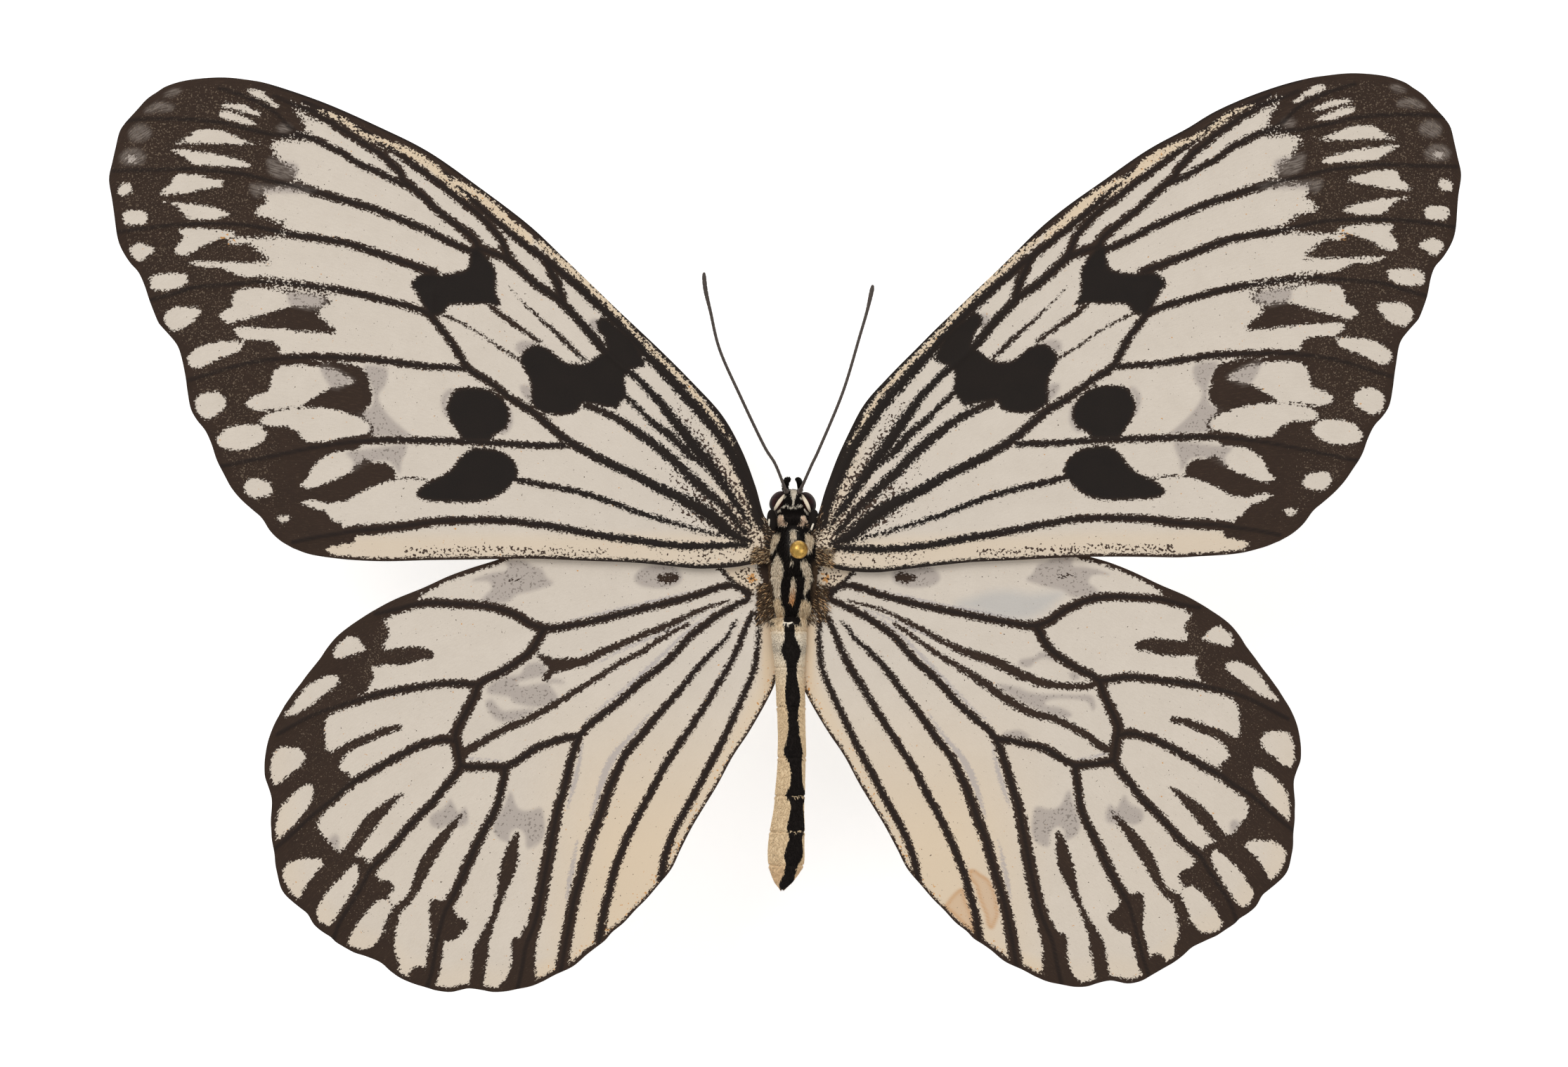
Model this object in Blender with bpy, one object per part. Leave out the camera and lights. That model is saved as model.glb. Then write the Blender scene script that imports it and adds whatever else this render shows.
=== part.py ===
"""A tree nymph butterfly, set with its wings spread flat and pinned through the thorax, at life size.

The specimen lies level above a small display base, seen best from straight above. X runs along the
wingspan with the insect's right side at +X, Y runs from the tail to the head, and Z is up. Z = 0 is the
underside of the base. Lengths below are in millimetres, and become metres where a mesh is made.
"""

import math

import bmesh
import bpy
import numpy as np
from mathutils import Vector
from mathutils.geometry import delaunay_2d_cdt

MM = 0.001
# Clearance between two pieces that touch.
GAP = 0.3

# Heights above the table.
BASE_HEIGHT = 6.0
BODY_AXIS_Z = 29.3
WING_Z = 30.0
PIN_TOP_Z = 40.6

# Body sections from front to back: y, half width, height above the axis, depth below the axis.
PROTHORAX_SECTIONS = (
    (3.3, 0.95, 1.0, 1.1),
    (3.05, 1.45, 1.45, 1.5),
    (2.75, 1.65, 1.6, 1.7),
    (2.45, 1.6, 1.55, 1.75),
)
THORAX_SECTIONS = (
    (2.15, 1.6, 1.7, 1.9),
    (1.7, 2.0, 2.4, 2.5),
    (0.9, 2.3, 3.0, 3.1),
    (-0.4, 2.45, 3.3, 3.4),
    (-2.0, 2.5, 3.25, 3.4),
    (-3.6, 2.4, 2.9, 3.1),
    (-4.9, 2.15, 2.35, 2.6),
    (-5.8, 1.8, 1.9, 2.1),
    (-6.2, 1.45, 1.55, 1.7),
)
# Abdomen sections: y, x of the axis, half width, half height, drop of the axis below the thorax's.
ABDOMEN_SECTIONS = (
    (-6.5, -0.1, 1.3, 1.45, 0.0),
    (-7.4, -0.3, 1.75, 1.9, 0.05),
    (-9.1, -0.3, 1.68, 1.85, 0.1),
    (-11.5, -0.3, 1.42, 1.65, 0.2),
    (-16.6, -0.13, 1.32, 1.55, 0.35),
    (-20.1, -0.1, 1.3, 1.5, 0.45),
    (-25.0, -0.35, 1.4, 1.55, 0.55),
    (-28.4, -0.62, 1.72, 1.75, 0.6),
    (-30.6, -0.64, 1.66, 1.7, 0.65),
    (-32.0, -0.85, 1.05, 1.2, 0.7),
    (-33.0, -1.0, 0.35, 0.45, 0.75),
)
# Where one ring of the abdomen meets the next, and how far it is drawn in there.
ABDOMEN_JOINTS = (-7.9, -11.4, -15.2, -20.1, -23.8, -27.3, -30.5)
JOINT_NARROWING = 0.06
JOINT_WIDTH = 0.35
# How square a section of the body is: 2 is an ellipse.
SECTION_POWER = 2.3

HEAD_CENTRE = (0.0, 4.5, 29.3)
HEAD_RADII = (1.4, 1.25, 1.55)
NECK_Y = 3.6
EYE_CENTRE = (1.5, 4.5, 29.35)
EYE_RADII = (0.82, 1.02, 1.25)

WING_THICKNESS = 0.5
# The wings are this much thicker up to ROOT_X from the midline, which fades over the next length.
ROOT_THICKENING = 0.15
ROOT_X = 2.5
ROOT_FADE = 3.0
RIDGE_TOP = 0.2
RIDGE_UNDER = 0.1
RIDGE_HALF_WIDTH = 0.55
# The forewing lies over the hindwing: the middle of each above the wings' common level.
FOREWING_LIFT = 0.75
HINDWING_LIFT = -0.5
# The wings rise this much at the tips of the span.
TIP_RISE = 1.4
HALF_SPAN = 65.6
RIM_STEP = 3.2
ROOT_STEP = 0.8
VEIN_STEP = 3.6

# Left forewing: its edge from the front of the root round the tip to the back of the root.
FOREWING_EDGE = (
    (-1.6, 2.4), (-3.3, 5.0), (-4.9, 9.5), (-9.6, 15.9), (-16.5, 22.6), (-22.0, 27.9), (-28.0, 33.0),
    (-35.0, 38.0), (-45.0, 42.8), (-50.0, 44.5), (-55.0, 45.15), (-60.0, 44.4), (-63.0, 42.0),
    (-65.0, 38.4), (-65.6, 35.4), (-64.8, 29.9), (-62.8, 26.5), (-61.0, 21.9), (-59.1, 19.5),
    (-58.1, 15.0), (-56.4, 11.3), (-54.6, 7.1), (-51.9, 3.7), (-49.2, 0.7), (-46.5, -0.55),
    (-42.0, -1.15), (-35.0, -1.15), (-25.0, -1.0), (-15.0, -1.4), (-8.0, -1.95), (-4.4, -1.6),
    (-1.6, -1.2),
)
# Left hindwing: its edge from the front of the root, hidden under the forewing at first.
HINDWING_EDGE = (
    (-1.6, -1.9), (-4.0, -0.9), (-10.0, 1.5), (-18.0, 1.5), (-25.0, 0.0), (-31.8, -2.7), (-38.0, -5.4),
    (-43.2, -8.7), (-47.0, -13.3), (-50.3, -18.9), (-50.55, -22.35), (-50.1, -26.3), (-49.1, -32.6),
    (-46.7, -35.2), (-42.7, -38.75), (-38.2, -41.0), (-33.15, -42.7), (-29.3, -42.6), (-24.1, -41.6),
    (-18.5, -38.0), (-14.1, -33.8), (-10.8, -29.0), (-8.5, -24.85), (-5.8, -20.1), (-3.4, -15.4),
    (-1.6, -12.6),
)
# Veins of the left forewing. The trunks come first, and a branch starts on its trunk.
FOREWING_VEINS = {
    "costa": ((-3.3, 5.0), (-4.9, 9.5), (-9.6, 15.9), (-16.5, 22.6), (-22.0, 27.9), (-28.0, 33.0),
              (-35.0, 38.0), (-45.0, 42.8), (-50.0, 44.5), (-55.0, 45.15)),
    "radius": ((-3.6, 1.6), (-7.2, 7.0), (-14.1, 15.2), (-18.4, 19.05), (-21.4, 22.8), (-25.3, 25.9),
               (-30.3, 28.9)),
    "subcosta": ((-3.1, 3.2), (-4.6, 7.0), (-10.8, 15.75), (-18.8, 23.3), (-22.7, 26.8), (-24.2, 29.0)),
    "cubitus": ((-4.4, 0.6), (-9.0, 3.6), (-14.45, 6.65), (-19.6, 9.15), (-27.1, 14.3), (-31.6, 17.3),
                (-34.6, 22.3), (-34.5, 26.5), (-30.3, 28.9)),
    "radius_1": ((-22.6, 24.2), (-24.5, 28.4), (-28.9, 32.2), (-34.0, 36.2)),
    "radius_2": ((-26.6, 27.1), (-28.9, 31.0), (-36.5, 37.2), (-45.0, 41.6)),
    "radius_4": ((-30.3, 28.9), (-35.7, 34.0), (-41.1, 38.6), (-47.4, 42.2), (-53.0, 44.0)),
    "radius_5": ((-35.7, 34.0), (-42.5, 37.4), (-48.3, 39.9), (-55.8, 40.8), (-63.6, 41.0)),
    "media_1": ((-30.3, 28.9), (-35.7, 30.7), (-43.0, 33.4), (-52.7, 35.8), (-64.6, 36.3)),
    "media_2": ((-34.5, 26.5), (-42.5, 29.2), (-52.2, 31.0), (-64.2, 30.4)),
    "media_3": ((-34.6, 22.3), (-43.5, 24.7), (-53.2, 25.5), (-61.2, 23.8)),
    "cubitus_1": ((-31.6, 17.3), (-40.1, 18.0), (-49.8, 18.15), (-57.8, 16.2)),
    "cubitus_2": ((-21.0, 9.9), (-30.0, 10.2), (-41.5, 10.3), (-54.8, 7.8)),
    "anal": ((-4.4, 0.6), (-10.0, 0.2), (-20.0, 1.5), (-30.0, 2.75), (-38.9, 2.05), (-48.8, 1.1)),
}
HINDWING_VEINS = {
    "subcosta": ((-3.4, -4.0), (-8.5, -4.25), (-15.75, -6.15), (-23.9, -7.7), (-28.4, -5.75),
                 (-35.0, -5.2), (-39.6, -6.9)),
    "radial": ((-23.9, -7.7), (-26.2, -10.7), (-30.3, -13.1), (-36.0, -13.35), (-42.8, -14.9),
               (-49.3, -17.8)),
    "media_1": ((-30.3, -13.1), (-32.5, -17.9), (-36.5, -19.25), (-42.8, -22.8), (-49.6, -28.6)),
    "media_2": ((-32.5, -17.9), (-32.0, -20.95), (-36.3, -26.2), (-40.7, -30.9), (-44.0, -37.2)),
    "cubitus": ((-3.6, -4.8), (-8.5, -7.4), (-14.8, -13.05), (-20.5, -18.1), (-27.7, -21.1),
                (-32.0, -20.95)),
    "media_3": ((-27.7, -21.1), (-29.4, -26.6), (-32.8, -33.5), (-35.2, -41.6)),
    "cubitus_2": ((-20.5, -18.1), (-22.5, -25.0), (-24.5, -34.7), (-26.5, -41.8)),
    "fold": ((-5.5, -7.05), (-10.65, -13.4), (-16.1, -19.8), (-19.6, -28.1), (-22.1, -40.2)),
    "anal_1": ((-3.5, -6.3), (-7.4, -13.4), (-14.1, -24.3), (-17.3, -31.4), (-18.9, -37.7)),
    "anal_2": ((-2.9, -6.9), (-3.7, -11.6), (-8.5, -21.8), (-12.4, -31.0)),
}
# The right wings are the left ones mirrored, then moved a little, as this specimen's two sides differ.
# Each row: x and y on the mirrored wing, then its shift in x and y.
RIGHT_FOREWING_SHIFTS = (
    (3.0, 2.0, 0.0, 0.0), (10.0, 16.5, -0.55, 0.45), (17.0, 22.5, -0.65, 0.5), (25.0, 30.5, -0.8, 0.4),
    (35.0, 38.0, -0.7, 0.3), (45.0, 42.8, -1.2, 0.6), (55.0, 45.15, -1.1, 0.4), (60.7, 42.3, -1.5, 0.4),
    (65.6, 36.0, -1.5, 0.4), (62.4, 28.5, -1.25, 0.5), (60.5, 21.9, -0.8, 0.4), (58.0, 15.0, -0.5, 0.35),
    (53.5, 10.5, -0.6, 0.5), (51.5, 5.0, -1.0, 0.7), (48.0, 0.0, -1.3, 0.7), (42.0, -1.1, -0.7, 0.5),
    (35.0, -1.1, -0.4, 0.3), (20.0, 0.0, 0.0, 0.0), (31.0, 25.0, -0.9, 0.05), (24.0, 19.5, -0.8, 0.1),
    (30.5, 13.3, -0.3, 0.2), (33.0, 5.0, -0.4, 0.2), (45.0, 18.3, -0.4, 0.35), (50.0, 35.0, -1.3, 0.4),
)
RIGHT_HINDWING_SHIFTS = (
    (4.0, -4.5, 0.0, 0.0), (12.0, -2.9, -0.6, 0.1), (25.0, -2.8, -0.6, 0.4), (34.0, -4.5, 0.0, 0.6),
    (23.9, -7.7, -0.5, 0.25), (34.7, -10.3, -1.8, 0.9), (42.6, -9.6, -1.9, 1.2), (46.3, -14.3, -2.3, 1.6),
    (49.0, -20.8, -1.95, 1.5), (48.5, -25.4, -1.95, 1.9), (47.2, -32.0, -1.6, 1.8), (44.0, -36.5, -1.5, 1.8),
    (38.0, -40.5, -1.2, 1.6), (35.0, -37.5, -1.2, 0.6), (32.3, -41.5, -0.6, 0.8), (27.0, -42.0, -0.6, 0.4),
    (22.3, -40.7, -0.8, 0.5), (15.0, -34.8, -0.6, 0.0), (8.5, -23.0, -0.8, 0.0), (3.5, -12.5, -0.9, 0.0),
    (20.5, -18.1, -1.0, -0.3), (20.5, -29.0, -0.9, 0.0), (30.5, -28.4, -1.2, 0.2), (27.7, -21.1, -0.45, 0.15),
    (30.3, -13.1, -0.7, 0.35), (32.5, -19.0, -1.2, 0.6), (40.0, -24.0, -1.3, 0.6),
)
# A shift fades out over about this distance.
SHIFT_REACH = 3.0
# Each kind of wing: edge, veins, lift and the right one's shifts.
WINGS = {
    "forewing": (FOREWING_EDGE, FOREWING_VEINS, FOREWING_LIFT, RIGHT_FOREWING_SHIFTS),
    "hindwing": (HINDWING_EDGE, HINDWING_VEINS, HINDWING_LIFT, RIGHT_HINDWING_SHIFTS),
}

# Paths of the left or of the single slender pieces: x, y, z and radius.
ANTENNA_PATH = (
    (-0.55, 5.35, 30.95, 0.27), (-0.83, 5.95, 31.35, 0.25), (-1.7, 8.1, 31.7, 0.25), (-2.8, 9.9, 31.9, 0.25),
    (-5.0, 14.5, 32.3, 0.25), (-7.0, 19.0, 32.5, 0.25), (-7.9, 22.7, 32.6, 0.27), (-8.35, 24.65, 32.6, 0.33),
    (-8.5, 26.0, 32.6, 0.3), (-8.5, 26.4, 32.6, 0.15),
)
RIGHT_ANTENNA_PATH = (
    (0.55, 5.35, 30.95, 0.27), (0.89, 5.95, 31.35, 0.25), (1.8, 8.0, 31.7, 0.25), (2.6, 9.7, 31.9, 0.25),
    (4.8, 15.0, 32.3, 0.25), (6.4, 20.3, 32.5, 0.25), (7.1, 22.7, 32.6, 0.27), (7.45, 24.2, 32.6, 0.33),
    (7.6, 24.9, 32.6, 0.3), (7.65, 25.2, 32.6, 0.15),
)
PALP_PATH = (
    (-0.75, 5.75, 28.2, 0.28), (-0.74, 6.2, 28.45, 0.28), (-0.62, 6.6, 29.1, 0.27), (-0.5, 6.75, 29.8, 0.23),
    (-0.42, 6.85, 30.35, 0.1),
)
PROBOSCIS_OUTER_RADIUS = 1.45
PROBOSCIS_INNER_RADIUS = 0.32
PROBOSCIS_TURNS = 1.5
PROBOSCIS_RADIUS = 0.25
PROBOSCIS_TIP_RADIUS = 0.15
PROBOSCIS_FORWARD = 0.3
# A leg starts this share of its radius below the clearance under the thorax, as it leaves at a slant.
COXA_SLANT = 0.4
# Legs, folded under the thorax: joints from the coxa to the claws, then the radius at each.
FORELEG = (
    ((-1.1, 1.3, 0.0), (-1.6, 3.3, 26.0), (-1.75, 3.75, 25.75), (-1.8, 3.3, 25.3), (-1.55, 1.2, 24.9),
     (-1.4, 0.2, 24.9)),
    (0.36, 0.32, 0.27, 0.26, 0.25, 0.15),
)
MIDLEG = (
    ((-1.2, -0.9, 0.0), (-2.5, 0.6, 24.3), (-3.4, 2.0, 23.6), (-3.75, 1.9, 23.0), (-3.7, -1.0, 22.5),
     (-3.4, -4.6, 22.4), (-3.0, -7.4, 22.9), (-2.7, -9.2, 23.0)),
    (0.42, 0.38, 0.3, 0.28, 0.27, 0.26, 0.25, 0.16),
)
HINDLEG = (
    ((-1.1, -3.6, 0.0), (-1.7, -5.2, 25.0), (-2.3, -8.2, 24.5), (-2.2, -8.8, 24.2), (-1.5, -11.6, 24.2),
     (-1.0, -14.0, 24.5), (-0.8, -16.6, 25.0), (-0.75, -18.2, 25.1)),
    (0.42, 0.38, 0.3, 0.28, 0.27, 0.26, 0.25, 0.16),
)

PIN_XY = (0.55, -0.1)
PIN_RADIUS = 0.3
PIN_HEAD_RADIUS = 0.86
PIN_DEPTH_IN_BASE = 4.0
BASE_LENGTH = 58.0
BASE_WIDTH = 17.0
BASE_CENTRE_Y = -5.5
BASE_CORNER = 5.0
BASE_BEVEL = 0.7

LEFT, RIGHT = "left", "right"


def clear_scene():
    for thing in list(bpy.data.objects):
        bpy.data.objects.remove(thing)


def material(name, colour, roughness, metallic=0.0):
    """A Principled material, with its colour as linear RGB."""
    made = bpy.data.materials.new(name)
    made.use_nodes = True
    shader = made.node_tree.nodes["Principled BSDF"]
    shader.inputs["Base Color"].default_value = (*colour, 1.0)
    shader.inputs["Roughness"].default_value = roughness
    shader.inputs["Metallic"].default_value = metallic
    made.diffuse_color = (*colour, 1.0)
    return made


def finish_object(name, data, surface, hidden=False):
    """Links a mesh or a curve as one object, or as a hidden cutter."""
    made = bpy.data.objects.new(name, data)
    bpy.context.scene.collection.objects.link(made)
    if hidden:
        made.hide_render = True
        made.display_type = "WIRE"
    else:
        data.materials.append(surface)
    return made


def mesh_from(name, bm):
    """The bmesh as a mesh in metres, with its faces turned outwards and shaded smooth."""
    bmesh.ops.scale(bm, vec=(MM, MM, MM), verts=bm.verts)
    bmesh.ops.recalc_face_normals(bm, faces=bm.faces)
    data = bpy.data.meshes.new(name)
    bm.to_mesh(data)
    bm.free()
    data.shade_smooth()
    return data


def smooth_path(points, step):
    """Points about one step apart on a curve through the given ones (Catmull-Rom)."""
    points = np.array(points, float)
    padded = np.vstack([2 * points[0] - points[1], points, 2 * points[-1] - points[-2]])
    fine = []
    for i in range(1, len(padded) - 2):
        before, start, end, after = padded[i - 1 : i + 3]
        for t in np.linspace(0.0, 1.0, 12, endpoint=False):
            fine.append(
                0.5
                * (
                    2 * start
                    + (end - before) * t
                    + (2 * before - 5 * start + 4 * end - after) * t**2
                    + (3 * start - before - 3 * end + after) * t**3
                )
            )
    fine.append(points[-1])
    fine = np.array(fine)
    along = np.concatenate([[0.0], np.cumsum(np.linalg.norm(np.diff(fine, axis=0), axis=1))])
    wanted = np.linspace(0.0, along[-1], max(2, round(along[-1] / step) + 1))
    return np.column_stack([np.interp(wanted, along, column) for column in fine.T])


def loft(bm, rings):
    """Skins a list of rings of equal count, and closes both ends."""
    loops = [[bm.verts.new(point) for point in ring] for ring in rings]
    count = len(loops[0])
    for near, far in zip(loops, loops[1:]):
        for i in range(count):
            j = (i + 1) % count
            bm.faces.new((near[i], near[j], far[j], far[i]))
    bm.faces.new(loops[0][::-1])
    bm.faces.new(loops[-1])


def section_at(table, y):
    """The values of a table of sections at y, straight between its rows."""
    rows = np.array(table[::-1])
    return [float(np.interp(y, rows[:, 0], rows[:, k])) for k in range(1, rows.shape[1])]


def thorax_like_ring(table, y, sides):
    """One squarish ring of the prothorax or the thorax."""
    half_width, up, down = section_at(table, y)
    ring = []
    for i in range(sides):
        angle = 2 * math.pi * i / sides
        c, s = math.cos(angle), math.sin(angle)
        x = math.copysign(abs(c) ** (2 / SECTION_POWER), c) * half_width
        z = math.copysign(abs(s) ** (2 / SECTION_POWER), s) * (up if s > 0 else down)
        ring.append((x, y, BODY_AXIS_Z + z))
    return ring


def abdomen_section(y):
    """x of the axis, half width, half height and z of the axis, drawn in where two segments meet."""
    centre_x, half_width, half_height, drop = section_at(ABDOMEN_SECTIONS, y)
    at_joints = sum(math.exp(-(((y - joint) / JOINT_WIDTH) ** 2)) for joint in ABDOMEN_JOINTS)
    narrowing = 1 - JOINT_NARROWING * at_joints
    return centre_x, half_width * narrowing, half_height * narrowing, BODY_AXIS_Z - drop


def body_side(y, z, side):
    """How far the body reaches from x = 0 towards one side at this height."""
    if y > ABDOMEN_SECTIONS[0][0]:
        table = THORAX_SECTIONS if y < PROTHORAX_SECTIONS[-1][0] - GAP / 2 else PROTHORAX_SECTIONS
        half_width, up, down = section_at(table, y)
        centre_x, centre_z = 0.0, BODY_AXIS_Z
        height = up if z > BODY_AXIS_Z else down
    else:
        centre_x, half_width, height, centre_z = abdomen_section(y)
    ratio = min(abs(z - centre_z) / height, 1.0)
    reach = half_width * (1 - ratio**SECTION_POWER) ** (1 / SECTION_POWER)
    return reach + (centre_x if side == RIGHT else -centre_x)


def make_body():
    """The prothorax, the thorax with the pin's bore, and the abdomen."""
    black = material("black_body_scales", (0.012, 0.009, 0.008), 0.75)
    buff = material("buff_body_scales", (0.55, 0.42, 0.28), 0.8)

    bm = bmesh.new()
    loft(bm, [thorax_like_ring(PROTHORAX_SECTIONS, row[0], 20) for row in PROTHORAX_SECTIONS])
    finish_object("prothorax", mesh_from("prothorax", bm), black)

    bm = bmesh.new()
    loft(bm, [thorax_like_ring(THORAX_SECTIONS, row[0], 24) for row in THORAX_SECTIONS])
    thorax = finish_object("thorax", mesh_from("thorax", bm), black)
    cut(thorax, round_bar("pin_bore", PIN_XY, PIN_RADIUS + GAP, 20.0, 40.0, hidden=True))

    stations = {row[0] for row in ABDOMEN_SECTIONS}
    for joint in ABDOMEN_JOINTS:
        stations = {y for y in stations if abs(y - joint) > 2 * JOINT_WIDTH}
        stations |= {joint - 1.5 * JOINT_WIDTH, joint, joint + 1.5 * JOINT_WIDTH}
    rings = []
    for y in sorted(stations, reverse=True):
        centre_x, half_width, half_height, centre_z = abdomen_section(y)
        rings.append(
            [
                (centre_x + half_width * math.cos(a), y, centre_z + half_height * math.sin(a))
                for a in np.linspace(0, 2 * math.pi, 16, endpoint=False)
            ]
        )
    bm = bmesh.new()
    loft(bm, rings)
    finish_object("abdomen", mesh_from("abdomen", bm), buff)


def cut(thing, cutter):
    """Takes the cutter's shape out of an object."""
    change = thing.modifiers.new("cut_" + cutter.name, "BOOLEAN")
    change.operation = "DIFFERENCE"
    change.object = cutter
    change.solver = "EXACT"


def round_bar(name, centre, radius, low, high, surface=None, hidden=False, sides=16):
    """An upright cylinder."""
    turn = [2 * math.pi * i / sides for i in range(sides)]
    circle = [(centre[0] + radius * math.cos(a), centre[1] + radius * math.sin(a)) for a in turn]
    rings = [[(x, y, z) for x, y in circle] for z in (low, high)]
    bm = bmesh.new()
    loft(bm, rings)
    return finish_object(name, mesh_from(name, bm), surface, hidden)


def ball(name, centre, radii, surface=None, hidden=False, columns=16, rows=10):
    """An ellipsoid."""
    bm = bmesh.new()
    bmesh.ops.create_uvsphere(bm, u_segments=columns, v_segments=rows, radius=1.0)
    bmesh.ops.scale(bm, vec=radii, verts=bm.verts)
    bmesh.ops.translate(bm, vec=centre, verts=bm.verts)
    return finish_object(name, mesh_from(name, bm), surface, hidden)


def make_head():
    """The head with an eye set in a socket on each side, cut flat where it meets the prothorax."""
    black = material("black_head_scales", (0.012, 0.009, 0.008), 0.75)
    eye_surface = material("dark_eyes", (0.045, 0.018, 0.014), 0.25)
    head = ball("head", HEAD_CENTRE, HEAD_RADII, black, columns=24, rows=14)
    bm = bmesh.new()
    bm.from_mesh(head.data)
    every = bm.verts[:] + bm.edges[:] + bm.faces[:]
    neck = (0.0, NECK_Y * MM, 0.0)
    bmesh.ops.bisect_plane(bm, geom=every, plane_co=neck, plane_no=(0, -1, 0), clear_outer=True)
    bmesh.ops.holes_fill(bm, edges=[edge for edge in bm.edges if edge.is_boundary])
    bmesh.ops.recalc_face_normals(bm, faces=bm.faces)
    bm.to_mesh(head.data)
    bm.free()
    for side in (LEFT, RIGHT):
        sign = 1 if side == RIGHT else -1
        centre = (sign * EYE_CENTRE[0], EYE_CENTRE[1], EYE_CENTRE[2])
        ball("eye_" + side, centre, EYE_RADII, eye_surface)
        socket = [radius + GAP for radius in EYE_RADII]
        cut(head, ball("eye_socket_" + side, centre, socket, hidden=True, columns=20, rows=12))


def tube(name, path, radii, surface, sides_setting=2):
    """A round tube along a path of points in mm, with a radius for each point."""
    curve = bpy.data.curves.new(name, "CURVE")
    curve.dimensions = "3D"
    curve.bevel_depth = MM
    curve.bevel_resolution = sides_setting
    curve.use_fill_caps = True
    spline = curve.splines.new("POLY")
    spline.points.add(len(path) - 1)
    for point, place, radius in zip(spline.points, path, radii):
        point.co = (place[0] * MM, place[1] * MM, place[2] * MM, 1.0)
        point.radius = radius
    return finish_object(name, curve, surface)


def mirrored(points):
    return [(-row[0], *row[1:]) for row in points]


def make_feelers():
    """Both antennae, both palps and the coiled proboscis."""
    black = material("black_feelers", (0.015, 0.012, 0.01), 0.6)
    brown = material("brown_proboscis", (0.05, 0.03, 0.02), 0.5)
    for name, path, step in (
        ("antenna_left", ANTENNA_PATH, 1.5),
        ("antenna_right", RIGHT_ANTENNA_PATH, 1.5),
        ("palp_left", PALP_PATH, 0.4),
        ("palp_right", mirrored(PALP_PATH), 0.4),
    ):
        smooth = smooth_path(path, step)
        tube(name, smooth[:, :3], smooth[:, 3], black)
    coil = []
    centre_z = HEAD_CENTRE[2] - HEAD_RADII[2] - GAP - PROBOSCIS_RADIUS - PROBOSCIS_OUTER_RADIUS
    for t in np.linspace(0.0, 1.0, 30):
        turn = math.pi / 2 - 2 * math.pi * PROBOSCIS_TURNS * t
        radius = PROBOSCIS_OUTER_RADIUS + (PROBOSCIS_INNER_RADIUS - PROBOSCIS_OUTER_RADIUS) * t
        y = HEAD_CENTRE[1] + PROBOSCIS_FORWARD + radius * math.cos(turn)
        thickness = PROBOSCIS_RADIUS + (PROBOSCIS_TIP_RADIUS - PROBOSCIS_RADIUS) * t
        coil.append((0.0, y, centre_z + radius * math.sin(turn), thickness))
    coil = np.array(coil)
    tube("proboscis", coil[:, :3], coil[:, 3], brown)


def thorax_underside(x, y):
    """Height of the thorax's underside."""
    half_width, _, down = section_at(THORAX_SECTIONS, y)
    return BODY_AXIS_Z - down * (1 - (abs(x) / half_width) ** SECTION_POWER) ** (1 / SECTION_POWER)


def make_legs():
    """Six legs folded under the thorax. The forelegs are short, as in all of this family."""
    black = material("black_leg_scales", (0.02, 0.016, 0.013), 0.65)
    for name, (joints, radii) in (("foreleg", FORELEG), ("midleg", MIDLEG), ("hindleg", HINDLEG)):
        root_x, root_y, _ = joints[0]
        root_z = thorax_underside(root_x, root_y) - GAP - radii[0] * COXA_SLANT
        rows = [(root_x, root_y, root_z, radii[0])]
        rows += [(*joint, radius) for joint, radius in zip(joints[1:], radii[1:])]
        for side in (LEFT, RIGHT):
            smooth = smooth_path(mirrored(rows) if side == RIGHT else rows, 0.85)
            tube(name + "_" + side, smooth[:, :3], smooth[:, 3], black, sides_setting=1)


def shifted(points, shifts):
    """Moves points by the mean of the given shifts, each weighted by its closeness."""
    points = np.array(points, float)
    rows = np.array(shifts)
    apart = np.linalg.norm(points[:, None, :] - rows[None, :, :2], axis=2)
    weights = (apart**2 + SHIFT_REACH**2) ** -2
    weights /= weights.sum(axis=1, keepdims=True)
    return points + weights @ rows[:, 2:]


def distance_to_lines(point, lines):
    """The least distance from a point to the segments of several lines."""
    least = math.inf
    for line in lines:
        start, end = line[:-1], line[1:]
        along = end - start
        t = np.clip(((point - start) * along).sum(1) / (along**2).sum(1), 0, 1)
        least = min(least, np.linalg.norm(start + along * t[:, None] - point, axis=1).min())
    return least


def inside(point, loop):
    """Whether a point lies inside a closed loop, by counting the edges to its right."""
    near, far = loop, np.roll(loop, -1, axis=0)
    crosses = (near[:, 1] > point[1]) != (far[:, 1] > point[1])
    rise = far[:, 1] - near[:, 1]
    x = near[:, 0] + (point[1] - near[:, 1]) * (far[:, 0] - near[:, 0]) / np.where(rise == 0, 1, rise)
    return bool((crosses & (x > point[0])).sum() % 2)


def wing_middle(x, lift):
    """Height of the middle of the wing's thickness."""
    return WING_Z + lift + TIP_RISE * (abs(x) / HALF_SPAN) ** 1.5


def vein_lines(veins):
    """Each vein as evenly spaced points, its ends moved onto a trunk's point where one is near."""
    lines = []
    placed = np.empty((0, 2))
    for points in veins:
        line = smooth_path(points, VEIN_STEP)
        if len(placed):
            for end in (0, -1):
                apart = np.linalg.norm(placed - line[end], axis=1)
                if apart.min() < VEIN_STEP / 2:
                    line[end] = placed[apart.argmin()]
        lines.append(line)
        placed = np.vstack([placed, line])
    return lines


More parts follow.
